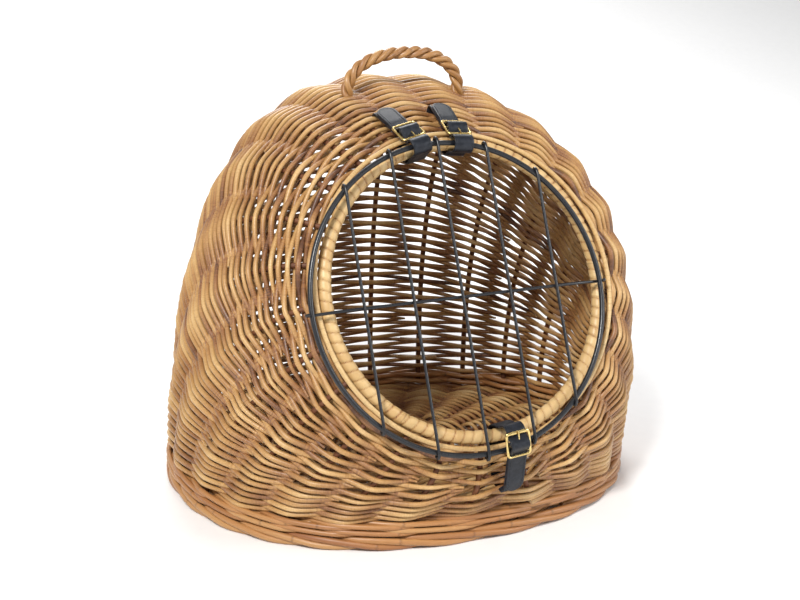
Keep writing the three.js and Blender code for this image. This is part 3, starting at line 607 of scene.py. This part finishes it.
spiral_rows = np.repeat(closed_rows, STAKES)
spiral_stakes = np.tile(np.arange(STAKES), len(closed_rows))
spiral_angle = stake_angle[spiral_stakes] + TURN * np.repeat(np.arange(len(closed_rows)), STAKES)
spiral_side = 1.0 - 2 * ((parity[spiral_rows] + spiral_stakes) % 2)
spiral = run_of(spiral_angle, row_distance[spiral_rows, spiral_stakes], spiral_side)
whole_rows = cut_run(spiral, int(spiral_side[0] > 0))
piece("wall_whole_rows", whole_rows, willow, "basket", "willow", "wall_weave")

short_rows = []
for row in range(LOW_ROWS, len(present) - TOP_ROWS):
    there = np.flatnonzero(present[row])
    stakes = np.r_[there[0] - 1, there, there[-1] + 1]
    first, last = wedge_end(row, stakes[0]), wedge_end(row, stakes[-1])
    distance = np.concatenate([[first], row_distance[row, there], [last]])
    side = 1.0 - 2 * ((parity[row] + stakes) % 2)
    run = tuple(values[3:-3] for values in run_of(stake_angle[stakes], distance, side))
    short_rows += [laid_rod(run, slice(None), 0.0, (True, True))]
half = len(short_rows) // 2
piece("wall_short_rows_low", short_rows[:half], willow, "basket", "willow")
piece("wall_short_rows_high", short_rows[half:], willow, "basket", "willow")

# %% [markdown]
# ## Stakes, wale and border
# The stakes are thicker rods that the rows pass round. The wale that locks their feet is three rods
# worked together: each in turn goes outside two stakes and inside the third, so from outside it looks
# like a slanting rope. The foot border is made of one rod for each stake: it comes out from behind,
# runs down across the next two stakes and is tucked under, and leaves a dark opening where it starts.
# All of them are tubes along a path on the same wall surface.

# %% Stakes, wale and border
every_stake = FIRST_STAKE + TURN / STAKES * np.arange(STAKES)
stakes = []
for angle in every_stake:
    share = np.linspace(0, 1, 70)
    path, normal = on_wall(np.full(70, angle), share * wall_length(angle), 0)
    taper = STAKE_R * (1 - 0.14 * share)
    stakes.append(tube(path, taper, normal, 8, rng.uniform(0.2, 0.9), rng.uniform(0, 9)))
piece("upright_stakes", stakes, russet_willow, "basket", "brown_willow",
      *[f"stake_{k + 1:02d}" for k in range(STAKES)])

WALE_ROD = 2.7 * MM
FIRST_ROUND, ROUND_RISE = 4.2, 7.6  # millimetres up the wall
wale = []
for strand in range(3):
    count = 2 * STAKES
    crossing = np.arange(count + 1)
    where = WEAVE_START[0] + strand + crossing
    stroke = crossing % 3
    round_done = np.clip((crossing + strand - STAKES + 1) / 3, 0, 1)
    level = FIRST_ROUND + ROUND_RISE * round_done + np.choose(stroke, [0, 1.9, -1.9])
    run = run_of(FIRST_STAKE + TURN / STAKES * where, level * MM, np.choose(stroke, [-1.0, 1.0, 1.0]))
    half = len(run[0]) // 2
    for span in (slice(0, half + 5), slice(half - 5, None)):
        path, normal = on_wall(run[0][span], run[1][span], run[2][span] * (STAKE_R + WALE_ROD) * 0.98)
        wale.append(tube(path, WALE_ROD, normal, 8, rng.uniform(0.1, 0.8), rng.uniform(0, 9)))
piece("lower_wale_rods", wale, tan_willow, "basket", "brown_willow", "lower_wale")


def through(points, count):
    """A smooth line through points: cubic pieces whose slope at each point is that of its neighbours,
    with knots spaced as the square root of the chord, resampled at count equal steps of length."""
    points = np.asarray(points, float)
    knots = np.append(0, np.cumsum(np.linalg.norm(np.diff(points, axis=0), axis=1) ** 0.5))
    slope = np.gradient(points, knots, axis=0)
    t = np.linspace(0, knots[-1], 12 * count)
    i = np.clip(np.searchsorted(knots, t, side="right") - 1, 0, len(points) - 2)
    step = (knots[i + 1] - knots[i])[:, None]
    s = (t[:, None] - knots[i][:, None]) / step
    line = ((1 + 2 * s) * (1 - s) ** 2 * points[i] + s * (1 - s) ** 2 * step * slope[i]
            + s * s * (3 - 2 * s) * points[i + 1] - s * s * (1 - s) * step * slope[i + 1])
    travelled = np.append(0, np.cumsum(np.linalg.norm(np.diff(line, axis=0), axis=1)))
    even = np.linspace(0, travelled[-1], count)
    return np.stack([np.interp(even, travelled, column) for column in line.T], axis=-1)


BORDER_STEPS = 34
BORDER_STROKE = through([(-0.1, 13, 8.5), (0.22, 6.5, 10.8), (0.7, 3.7, 10.2), (1.2, 3.4, 7.4),
                         (1.7, 3.4, 4.0), (2.15, 6.5, 3.2), (2.5, 12.5, 4.0)],
                        BORDER_STEPS)  # stakes onwards, inset, height
border = []
for angle in every_stake:
    wobble = rng.normal(0, 0.15, 2)
    path = outline(angle + TURN / STAKES * BORDER_STROKE[:, 0], (BORDER_STROKE[:, 1] + wobble[0]) * MM,
                   BORDER_STROKE[:, 2] * MM)
    share = np.linspace(0, 1, BORDER_STEPS)
    radius = np.interp(share, [0, 0.2, 0.75, 1], [3.3, 3.5, 3.1, 2.3]) * MM
    border.append(tube(path, radius, (0, 0, 1), 10, rng.uniform(0.0, 0.75), rng.uniform(0, 9)))
inner_ring = outline(np.linspace(0, TURN, 120, endpoint=False), 11.5 * MM, 7.4 * MM)
border.append(tube(inner_ring, 2.2 * MM, (0, 0, 1), 8, 0.9, closed=True))
piece("foot_border_rods", border, tan_willow, "basket", "brown_willow", "foot_border")

# %% [markdown]
# ## Floor
# Six thick sticks cross in the middle, three over three, and spread into twelve spokes. Twelve more
# rods are pushed in beside them farther out, where the spokes would be too far apart. Thin rods are
# woven round and round between the slath and the border; they rise over one spoke and dip under the
# next, which gives the zigzag that shows through the mouth.

# %% Floor sticks and rows
FLOOR_MIDDLE, STICK_R, SLATH_RADIUS = 9.5 * MM, 3.3 * MM, 34 * MM
SPOKES = 24
sticks = []
for level in range(2):
    for place in (-1, 0, 1):
        facing, turn = level * math.pi / 2, place * math.pi / 6
        crossing = FLOOR_MIDDLE + (level - 0.5) * (2 * STICK_R + 0.4 * MM)
        near = [(-54.4, 25.2 * place), (-20.4, 8.4 * place), (20.4, 8.4 * place), (54.4, 25.2 * place)]
        middle = [(x * MM * math.cos(facing) - y * MM * math.sin(facing),
                   FLOOR_CENTRE_Y + x * MM * math.sin(facing) + y * MM * math.cos(facing), z)
                  for (x, y), z in zip(near, (FLOOR_MIDDLE, crossing, crossing, FLOOR_MIDDLE))]
        ends = outline(np.array([facing + math.pi - turn, facing + turn]), 16.5 * MM, FLOOR_MIDDLE)
        path = through([ends[0], *middle, ends[1]], 60)
        taper = STICK_R * np.linspace(1, 0.88, 60)
        sticks.append(tube(path, taper, (0, 0, 1), 12, rng.uniform(0.2, 0.9)))
for spoke in range(1, SPOKES, 2):
    angle = TURN * spoke / SPOKES
    ends = outline(angle, np.array([145, 16.5]) * MM, FLOOR_MIDDLE)
    sticks.append(tube(through(ends, 20), 2.6 * MM, (0, 0, 1), 10, rng.uniform(0.3, 1)))
piece("floor_sticks", sticks, russet_willow, "basket", "brown_willow",
      *[f"floor_stick_{way}_{k}" for way in ("across", "lengthwise") for k in (1, 2, 3)])

FLOOR_ROWS, FLOOR_ROD, FLOOR_STEPS = 40, 2.0 * MM, 8
floor_rows = []
for row in range(FLOOR_ROWS):
    spokes = SPOKES if row > 13 else SPOKES // 2
    angle = TURN * np.arange(spokes * FLOOR_STEPS) / (spokes * FLOOR_STEPS)
    share = (row + 0.5) / FLOOR_ROWS
    circle = (0, FLOOR_CENTRE_Y) + SLATH_RADIUS * np.stack([np.cos(angle), np.sin(angle)], axis=-1)
    edge = outline(angle, 15 * MM, 0.0)[:, :2]
    wave = np.cos(angle * spokes / 2) * (1 - 2 * (row % 2))
    height = FLOOR_MIDDLE + wave * (STICK_R + FLOOR_ROD) * 0.97
    path = np.column_stack([circle * (1 - share) + edge * share, height])
    # The last term is painted shade: each floor row is darkened where it slips between two spokes, in place of
    # the shadow there.
    tone = 0.22 + 0.25 * np.sin(angle + rng.uniform(0, TURN)) + rng.normal(0, 0.15) + 0.6 * (1 - wave ** 2)
    radius = FLOOR_ROD * rng.uniform(0.88, 1.02)
    floor_rows.append(tube(path, radius, (0, 0, 1), 7, tone, row * 1.7, closed=True))
piece("floor_rows", floor_rows, willow, "basket", "willow", "floor_weave")

# %% [markdown]
# ## The bound rim
# A skein is a strip split from a rod, and it is wound tightly round the hoop, turn beside turn. The
# winding is one long helix, so a single number tells where a point is: turns round the hoop plus turns
# round the tube. Its whole part counts the strips and gives each a tone, and its fraction says how far
# across the strip the point lies, where the surface bulges in the middle and dips at the joint.

# %% Rim
SKEIN_TURNS, PER_TURN, RIM_SIDES = 91, 12, 18
STRIP_WIDTH = 9.5 * MM
angle = TURN * np.arange(SKEIN_TURNS * PER_TURN) / (SKEIN_TURNS * PER_TURN)
minor = TURN * np.arange(RIM_SIDES) / RIM_SIDES
winding = SKEIN_TURNS * angle[:, None] / TURN + minor / TURN
across_strip = winding % 1
strip = np.floor(winding).astype(int) % SKEIN_TURNS
strip_tone, strip_lift = rng.uniform(0.1, 0.8, SKEIN_TURNS), rng.uniform(-0.12, 0.12, SKEIN_TURNS)
rim_radius = SLEEVE_R + MM * (strip_lift[strip] - 0.12 - 0.9 * np.abs(2 * across_strip - 1) ** 6)
joint_tone = strip_tone[strip] * 0.75 + 0.9 * np.abs(2 * across_strip - 1) ** 9
reach = HOOP_RADIUS + rim_radius * np.cos(minor)
behind = rim_radius * np.sin(minor)
rings = HOOP_CENTRE + reach[..., None] * outwards(angle)[:, None] + behind[..., None] * -OUT
skein = skin(rings, winding[:, 0] * STRIP_WIDTH, joint_tone, closed_along=True)
piece("rim_skein", [skein], pale_willow, "basket", "pale_willow", "rim_binding")

angle = np.linspace(0, TURN, 240, endpoint=False)
path, normal = on_wall(angle, wall_length(angle) - 2.55 * MM, 5.55 * MM)
piece("rim_side_rod", [tube(path, 2.3 * MM, normal, 10, 0.35 + 0.25 * np.sin(3 * angle), closed=True)],
      pale_willow, "basket", "pale_willow", "rim_rod")
hoop_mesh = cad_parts["rim_hoop"].data
hoop_mesh.materials.clear()
hoop_mesh.materials.append(russet_willow)

# %% [markdown]
# ## Handle
# Three rods are soaked and twisted round each other into a rope. Each is a helix round the arch: its
# centre turns about the arch's middle line as it moves along it. The rods are not perfectly round, so
# their radius varies gently round them, which draws fine furrows along the twist.

# %% Handle
HANDLE_TWISTS, STRAND_R, STRAND_OFFSET = 5.5, 2.9 * MM, 3.5 * MM
HANDLE_Y, HANDLE_FOOT = FLOOR_CENTRE_Y - 14 * MM, 391.8 * MM
HANDLE_X, HALF_SPAN, HANDLE_RISE, TAIL = 5 * MM, 60 * MM, 43 * MM, 20 * MM
HANDLE_STEPS = 200
t = np.linspace(0, 1, 25)
swing = math.pi * (1 - t)
tail = np.maximum(0, np.abs(2 * t - 1) - 0.86) / 0.14
across = np.sign(np.cos(swing)) * np.abs(np.cos(swing)) ** 0.9
height = HANDLE_RISE * np.sin(swing).clip(0) ** 0.8 - TAIL * tail
arch = np.column_stack([HANDLE_X + HALF_SPAN * across, np.full(25, HANDLE_Y), HANDLE_FOOT + height])
arch = through(arch, HANDLE_STEPS)
tangent = unit(np.gradient(arch, axis=0))
sideways = np.array([0.0, 1.0, 0.0])
upward = np.cross(sideways, tangent)
handle = []
for strand in range(3):
    turn = TURN * (HANDLE_TWISTS * np.linspace(0, 1, HANDLE_STEPS) + strand / 3)
    path = arch + STRAND_OFFSET * (np.cos(turn)[:, None] * sideways + np.sin(turn)[:, None] * upward)
    made = tube(path, STRAND_R, sideways, 16, rng.uniform(0.58, 0.78), strand)
    rings = made["points"].reshape(HANDLE_STEPS, 16, 3)
    furrow = 1 + 0.07 * np.cos(TURN * np.arange(16) / 16 * 4 + turn[:, None] * 0.5)
    made["points"] = (path[:, None] + (rings - path[:, None]) * furrow[..., None]).reshape(-1, 3)
    handle.append(made)
piece("handle_rope", handle, willow, "basket", "willow", *[f"handle_strand_{k}" for k in (1, 2, 3)])
print("handle top", round(float(arch[:, 2].max()), 3))

# %% [markdown]
# ## The wire door
# The ring and the bars are drawn steel wire with black paint. Each bar goes straight across and its
# ends are bent round the ring into small eyes. The paint is thin: it is smooth, half glossy, and has
# a slight unevenness, with a little bare metal where the eyes have rubbed the ring.

# %% Painted wire
wire_finish = Finish("black_painted_wire")
place = wire_finish.node("ShaderNodeTexCoord", output=3)
unevenness = wire_finish.noise(place, 900, 2)
rubbed = (wire_finish.noise(place, 260, 3) * 6 - 4.1).clamp()
wire_finish.set(Base_Color=wire_finish.mix(rubbed, (0.011, 0.012, 0.015, 1), (0.1, 0.1, 0.11, 1)),
                Roughness=unevenness * 0.2 + 0.2, Metallic=rubbed * 0.7,
                Normal=wire_finish.bump(unevenness, 0.0002, 0.4))
wire = wire_finish.material

DOOR_RADIUS, RING_WIRE, BAR_WIRE = 145 * MM, 2.5 * MM, 1.5 * MM
DOOR_CENTRE = HOOP_CENTRE + np.array([-13, -9, 16]) * MM @ np.array([ACROSS, UP, OUT])
HOOK_SIDE, HOOK_OUT = 5.4 * MM, 4.3 * MM


def in_door(x, up, out):
    """A place given across, up and out of the door's own plane."""
    x, up, out = (np.asarray(value)[..., None] for value in (x, up, out))
    return DOOR_CENTRE + x * ACROSS + up * UP + out * OUT


angle = np.linspace(0, TURN, 180, endpoint=False)
ring_path = in_door(DOOR_RADIUS * np.cos(angle), DOOR_RADIUS * np.sin(angle), 0 * angle)
ring_tube = tube(ring_path, RING_WIRE, OUT, 14, closed=True)
piece("door_ring_wire", [ring_tube], wire, "door", "wire", "door_ring")


def bar_line(half, front, middle):
    """(along, out) points of a bar: round the ring at both ends, straight between."""
    turn = np.radians([150, 90, 35, 0])
    hook = np.column_stack([half + HOOK_SIDE * np.sin(turn), front * HOOK_OUT * np.cos(turn)])
    straight = [(x, middle) for x in (28 * MM - half, 0, half - 28 * MM)]
    return np.concatenate([hook * (-1, 1), straight, hook[::-1]])


bars = []
for k in range(5):
    x = ((k + 1) / 3 - 1) * DOOR_RADIUS
    line = through(bar_line(math.sqrt(DOOR_RADIUS ** 2 - x ** 2), 1, HOOK_OUT), 160)
    bars.append(tube(in_door(np.full(160, x), line[:, 0], line[:, 1]), BAR_WIRE, ACROSS, 10))
piece("door_bar_wires", bars, wire, "door", "wire", *[f"door_bar_{k}" for k in range(1, 6)])
line = through(bar_line(DOOR_RADIUS, -1, 0.4 * MM), 160)
piece("door_cross_wire", [tube(in_door(line[:, 0], np.zeros(160), line[:, 1]), BAR_WIRE, UP, 10)],
      wire, "door", "wire", "door_cross_bar")

# %% [markdown]
# ## Leather straps
# A strap is a ribbon: a flat section carried along a line. The line lives in the strap's own upright
# plane, with w along the wall and v out of it, and the section is a flat oblong with rounded edges and
# a pressed crease a little way in from each edge. The stitches are separate short threads that follow
# the same edges, because a painted dash would vanish at a glancing angle.

# %% Strap planes
STRAP_HALF = 9.5 * MM
# in millimetres, in a strap's own plane
LEATHER, GAP, BAR_SPACING, TONGUE = 1.8, 0.3, 11.0, 38.0
RIM_R, RING_R, RING_SLACK = 6.5, 2.5, 7.8
OUTSIDE, INSIDE = 8.3, -9.5  # the weave's two sides, from the stake line
UNDER_BAR = 1 + GAP + LEATHER / 2
STACKED = LEATHER + 3 * GAP
UNDER_STRAP = UNDER_BAR + 2 * GAP + STACKED
ON_WEAVE = OUTSIDE + LEATHER / 2


def seat(angle, hinge):
    """Where a strap sits: its plane's origin and directions, and its ring and buckle in millimetres."""
    angle = np.array(math.radians(angle))
    radial = outwards(angle)
    w, v = leaning(angle)
    origin = HOOP_CENTRE + HOOP_RADIUS * radial
    wire_at = in_door(*[0 * angle] * 3) - HOOP_CENTRE
    side, up, forward = wire_at @ ACROSS, wire_at @ UP, wire_at @ OUT
    along = side * np.cos(angle) + up * np.sin(angle)
    reach = along + np.sqrt(DOOR_RADIUS ** 2 - side ** 2 - up ** 2 + along ** 2)
    from_origin = (reach - HOOP_RADIUS) * radial + forward * OUT
    ring_at = np.array([from_origin @ w, from_origin @ v]) / MM
    s = {"angle": angle, "origin": origin, "w": w, "v": v, "z": np.cross(w, v), "ring": ring_at}
    if hinge:
        middle = ring_at[0] + 8 + BAR_SPACING
        weave = beside(s, middle + BAR_SPACING, ON_WEAVE + GAP)[1]
        buckle = np.array([middle, max(OUTSIDE + 6.2, ring_at[1] + 5, weave + UNDER_STRAP)])
    else:
        buckle = np.array([2.0, ring_at[1] + RING_R + 3 * LEATHER + 2])
    return s | {"buckle": buckle, "hole": buckle[0] + BAR_SPACING + TONGUE + LEATHER}


def in_strap(s, line, across=0.0):
    """A strap plane's (w, v) in millimetres, and a place across it in metres, as a point."""
    line = np.asarray(line) * MM
    return (s["origin"] + line[..., :1] * s["w"] + line[..., 1:2] * s["v"]
            + np.asarray(across)[..., None] * s["z"])


def beside(s, w, height):
    """The wall's surface at w, as (w, v) in millimetres."""
    point = on_wall(s["angle"], wall_length(s["angle"]) + (RIM_R + GAP - w) * MM, height * MM)[0] - s["origin"]
    return np.array([point @ s["w"], point @ s["v"]]) / MM


def down_to(s, share, above=0.0):
    """From under the back bar down to the hole in the weave, sinking as share ** 0.8."""
    w = s["buckle"][0] + BAR_SPACING + (s["hole"] - s["buckle"][0] - BAR_SPACING) * share
    start, end = np.array([w, s["buckle"][1] - UNDER_STRAP]), beside(s, w, ON_WEAVE + 5 * GAP)
    sinking = start + (end - start) * share ** 0.8
    return np.array([sinking[0], max(sinking[1], beside(s, w, ON_WEAVE + GAP)[1]) + above])


seats = {"left": seat(102.6, True), "right": seat(84.6, True), "latch": seat(275.4, False)}
for name, s in seats.items():
    print(name, "ring", np.round(s["ring"], 2), "buckle", np.round(s["buckle"], 2))

# %% Strap lines
def circle_points(centre, radius, degrees):
    turn = np.radians(degrees)
    return list(centre + radius * np.column_stack([np.cos(turn), np.sin(turn)]))


def chape_line(s):
    """The end folded round the centre bar, then under the back bar to the hole in the weave."""
    fold = circle_points(s["buckle"], UNDER_BAR, [60, 100, 140, 180, 220, 260])
    under = s["buckle"] + (0.55 * BAR_SPACING, -0.85 * UNDER_STRAP)
    return [*fold, under] + [down_to(s, x) for x in (0, 0.35, 0.7, 0.93)]


def inner_line(s):
    """From the hole, along the inside of the wall and round the hoop towards the ring."""
    hole, inside, clear = s["hole"], INSIDE - LEATHER / 2, RIM_R + GAP + LEATHER
    return [beside(s, hole, OUTSIDE - 2 * GAP), beside(s, hole, 0), beside(s, hole - 1, inside + 3),
            beside(s, hole - 6, inside), beside(s, hole * 0.55, inside), (clear, inside),
            (-0.6 * clear, inside + 1.5), (-clear - 1, -0.3 * clear)]


def tongue_line(s):
    """Under the front bar, over the centre bar, under the back bar, and down on the chape."""
    over, under = UNDER_BAR + LEATHER + 2 * GAP, -UNDER_BAR - 3 * GAP
    weave = [(-BAR_SPACING - 1.5, under), (-BAR_SPACING + 2, under), (-BAR_SPACING / 2 + 0.5, 0.4 * over),
             (-1.5, over), (1.5, over), (BAR_SPACING / 2 - 0.5, 0.4 * over)]
    return [s["buckle"] + p for p in weave] + [down_to(s, x, STACKED) for x in (0, 0.35, 0.7, 0.95)]


def ribbon(s, points, count, round_end=False, tone=0.5):
    """A strap along a line of (w, v) points. Returns its skin and what stitches need to follow it."""
    line = through(points, count)
    tangent = unit(np.gradient(line, axis=0))
    normal = np.column_stack([-tangent[:, 1], tangent[:, 0]])
    travelled = np.append(0, np.cumsum(np.linalg.norm(np.diff(line, axis=0), axis=1))) * MM
    half = np.full(count, STRAP_HALF)
    if round_end:
        left = np.clip(STRAP_HALF - (travelled[-1] - travelled), 0, STRAP_HALF)
        half = np.sqrt(np.maximum(STRAP_HALF ** 2 - left ** 2, (0.4 * MM) ** 2))
    inset = np.array([0.0, 0.12, 0.45, 1.9, 2.1, 2.3, 4.0, 7.0]) * MM  # from the edge
    depth = np.array([0.45, 0.75, 0.9, 0.9, 0.72, 0.9, 0.94, 0.96])  # of the surface from the middle
    x = np.concatenate([inset, 2 * STRAP_HALF - inset[::-1]])
    top = np.concatenate([depth, depth[::-1]])
    x, out = np.concatenate([x, x[::-1]]), np.concatenate([top, -top[::-1]])
    place = np.sign(STRAP_HALF - x) * np.maximum(half[:, None] - np.minimum(x, 2 * STRAP_HALF - x), 0)
    flat = line[:, None] + normal[:, None] * out[:, None]
    v = np.append((STRAP_HALF - x) / MM, (STRAP_HALF - x[0]) / MM)
    made = skin(in_strap(s, flat, place), travelled, tone, v=v / 40)
    return made, (line, normal, travelled)


def stitches(s, ribbon_line, start, end, spacing=3.1 * MM):
    """Short threads down one edge from start, round the tip's half circle, and back up the other."""
    line, normal, travelled = ribbon_line
    edge, centre = STRAP_HALF - 2.6 * MM, end - STRAP_HALF
    arc = np.linspace(math.pi / 2, -math.pi / 2, 40)
    along = np.concatenate([[start], centre + edge * np.cos(arc), [start]])
    across = np.concatenate([[edge], edge * np.sin(arc), [-edge]])
    run = np.append(0, np.cumsum(np.hypot(np.diff(along), np.diff(across))))
    lift = np.array([0.55, 0.86, 1.0, 0.86, 0.55])[:, None]
    threads = []
    for at in np.arange(spacing, run[-1] - spacing / 2, spacing):
        t = at + np.array([-0.42, -0.3, 0, 0.3, 0.42]) * spacing
        place = np.interp(t, run, along), np.interp(t, run, across)
        middle = np.column_stack([np.interp(place[0], travelled, column) for column in line.T])
        rise = np.column_stack([np.interp(place[0], travelled, column) for column in normal.T])
        threads.append(tube(in_strap(s, middle + rise * lift, place[1]), 0.26 * MM, s["z"], 6))
    return threads


# %% [markdown]
# ## Black leather and thread
# Strap leather is dyed through and finished with a thin lacquer. Fine pores cover it at a fifth of a
# millimetre, and broad soft wrinkles appear where it bends. Rubbing turns the highest places slightly
# blue-grey.

# %% Leather finish
leather_finish = Finish("black_leather")
place = leather_finish.node("ShaderNodeTexCoord", output=3)
pores = leather_finish.node("ShaderNodeTexVoronoi", {"feature": "F1"}, {"Vector": place, "Scale": 1500})
wrinkle = leather_finish.noise(place, 300, 4)
cloud = leather_finish.noise(place, 45, 2)
worn = (wrinkle * 1.6 + cloud - 1.15).clamp()
dyed = leather_finish.mix(worn, (0.0085, 0.0105, 0.0155, 1), (0.03, 0.034, 0.045, 1))
leather_finish.set(Base_Color=dyed,
                   Roughness=wrinkle * 0.3 + 0.22, Specular_IOR_Level=0.32,
                   Normal=leather_finish.bump(pores * 0.45 + wrinkle * 0.55, 0.00035, 0.45))
leather = leather_finish.material
thread_finish = Finish("waxed_thread")
place = thread_finish.node("ShaderNodeTexCoord", output=3)
ply = thread_finish.node("ShaderNodeTexWave", None, {"Vector": place, "Scale": 900.0, "Distortion": 2.0},
                         output=1)
thread_finish.set(Base_Color=thread_finish.mix(ply, (0.004, 0.005, 0.007, 1), (0.018, 0.021, 0.028, 1)),
                  Roughness=ply * 0.2 + 0.4, Normal=thread_finish.bump(ply, 0.0001, 0.6))
thread = thread_finish.material

# %% Straps
SEWN = 46 * MM  # stitched length of each tongue
for side in ("left", "right"):
    s = seats[side]
    turned = circle_points(s["ring"], RING_SLACK, [235, 190, 145, 100, 60])
    points = chape_line(s) + inner_line(s) + turned + tongue_line(s)
    strap, line = ribbon(s, points, 330, True)
    name, end = f"hinge_strap_{side}", line[2][-1]
    piece(name + "_leather", [strap], leather, "basket", "leather", name, sharp=40)
    piece(name + "_stitches", stitches(s, line, end - SEWN, end), thread, "basket", "leather")

s = seats["latch"]
over_rim = np.array([-RIM_R - 2 * LEATHER - 2 * GAP, RIM_R + 3])
loop, _ = ribbon(s, inner_line(s) + [over_rim], 120)
piece("latch_loop_leather", [loop], leather, "basket", "leather", "latch_loop", sharp=40)
chape, _ = ribbon(s, chape_line(s), 90)
half_way = over_rim[1] + 0.55 * (s["buckle"][1] - over_rim[1])
front = [over_rim + (-0.2, 3 * GAP), (s["buckle"][0] - BAR_SPACING - 5, half_way), *tongue_line(s)]
strap, line = ribbon(s, front, 140, True)
piece("latch_strap_leather", [strap], leather, "latch", "leather", "latch_strap", sharp=40)
piece("latch_chape_leather", [chape], leather, "latch", "leather", "latch_chape", sharp=40)
end = line[2][-1]
piece("latch_strap_stitches", stitches(s, line, end - SEWN, end), thread, "latch", "leather")

# %% [markdown]
# ## Brass buckles
# A roller-less harness buckle is bent from flat brass wire: a rounded oblong whose front bar is the
# thickest, with a centre bar that holds the prong. Walking round the oblong is one parameter; the
# half thickness of the wire is interpolated from the place along the strap. The prong is a wire with
# an eye round the centre bar. The brass has fine brushing along its length and a duller film of age
# in the hollows.

# %% Brass and buckles
brass_finish = Finish("buckle_brass")
place = brass_finish.node("ShaderNodeTexCoord", output=3)
film = (brass_finish.noise(place, 420, 3) * 2.4 - 0.85).clamp()
brushing = brass_finish.noise(place, 2600, 2)
aged = brass_finish.mix(film, (0.86, 0.66, 0.28, 1), (0.6, 0.41, 0.14, 1))
brass_finish.set(Base_Color=aged, Metallic=1.0, Roughness=film * 0.14 + brushing * 0.1 + 0.14,
                 Normal=brass_finish.bump(brushing, 0.00012, 0.3))
brass = brass_finish.material


def oblong(front, back, reach, corner, count):
    """(w, across) points in millimetres round an oblong with quarter-circle corners."""
    turns = np.linspace(0, math.pi / 2, 7)
    arcs = []
    for quarter, (w, z) in enumerate([(back, reach), (front, reach), (front, -reach), (back, -reach)]):
        inward = np.array([-1, -1]) * np.sign([w - (front + back) / 2, z]) * corner + (w, z)
        arcs.append(inward + corner * np.column_stack([np.cos(turns + quarter * math.pi / 2),
                                                       np.sin(turns + quarter * math.pi / 2)]))
    loop = np.concatenate(arcs + [arcs[0][:1]])
    run = np.append(0, np.cumsum(np.linalg.norm(np.diff(loop, axis=0), axis=1)))
    even = np.linspace(0, run[-1], count, endpoint=False)
    return np.stack([np.interp(even, run, column) for column in loop.T], axis=-1)


def buckle_frame(s):
    """The oblong and its centre bar. Widths: front bar 1.5 mm each way, sides 1.3, back bar 1."""
    loop = oblong(-BAR_SPACING, BAR_SPACING, 11.4, 2.6, 140)
    width = np.interp(loop[:, 0], [-BAR_SPACING, -8.4, 8.4, BAR_SPACING], [1.75, 1.35, 1.35, 1.15]) * MM
    path = in_strap(s, s["buckle"] + np.column_stack([loop[:, 0], 0 * loop[:, 0]]), loop[:, 1] * MM)
    middle = (path.max(axis=0) + path.min(axis=0)) / 2
    thick = 1.05 * MM / width
    frame_tube = tube(path, width, path - middle, 12, closed=True)
    rings = frame_tube["points"].reshape(len(path), 12, 3)
    along_v = ((rings - path[:, None]) @ s["v"])[..., None] * s["v"]
    frame_tube["points"] = (rings + along_v * (thick[:, None, None] - 1)).reshape(-1, 3)
    bar = in_strap(s, np.tile(s["buckle"], (12, 1)), np.linspace(-10.6, 10.6, 12) * MM)
    return [frame_tube, tube(bar, 1.0 * MM, s["w"], 12)]


def prong_wire(s):
    """Round the centre bar from behind, then straight to the front bar, thinning to the tip."""
    turn = np.radians(np.linspace(-160, 120, 22))
    eye = 2.1 * np.column_stack([np.cos(turn), np.sin(turn)])
    arm = [(-4.2, 2.25), (-8.5, 2.2), (-BAR_SPACING, 2.15), (-BAR_SPACING - 2.0, 2.0)]
    line = through(np.concatenate([eye, arm]), 90)
    radius = np.interp(np.linspace(0, 1, 90), [0, 0.1, 0.85, 1], [0.55, 0.8, 0.75, 0.5]) * MM
    return [tube(in_strap(s, s["buckle"] + line, np.zeros(90)), radius, s["z"], 12)]


for place, name, body, prong_body in (("left", "hinge_{}_left", "basket", "left_prong"),
                                      ("right", "hinge_{}_right", "basket", "right_prong"),
                                      ("latch", "latch_{}", "latch", "latch_prong")):
    s, buckle, prong = seats[place], name.format("buckle"), name.format("prong")
    piece(buckle + "_brass", buckle_frame(s), brass, body, "brass", buckle)
    piece(prong + "_brass", prong_wire(s), brass, prong_body, "brass", prong)
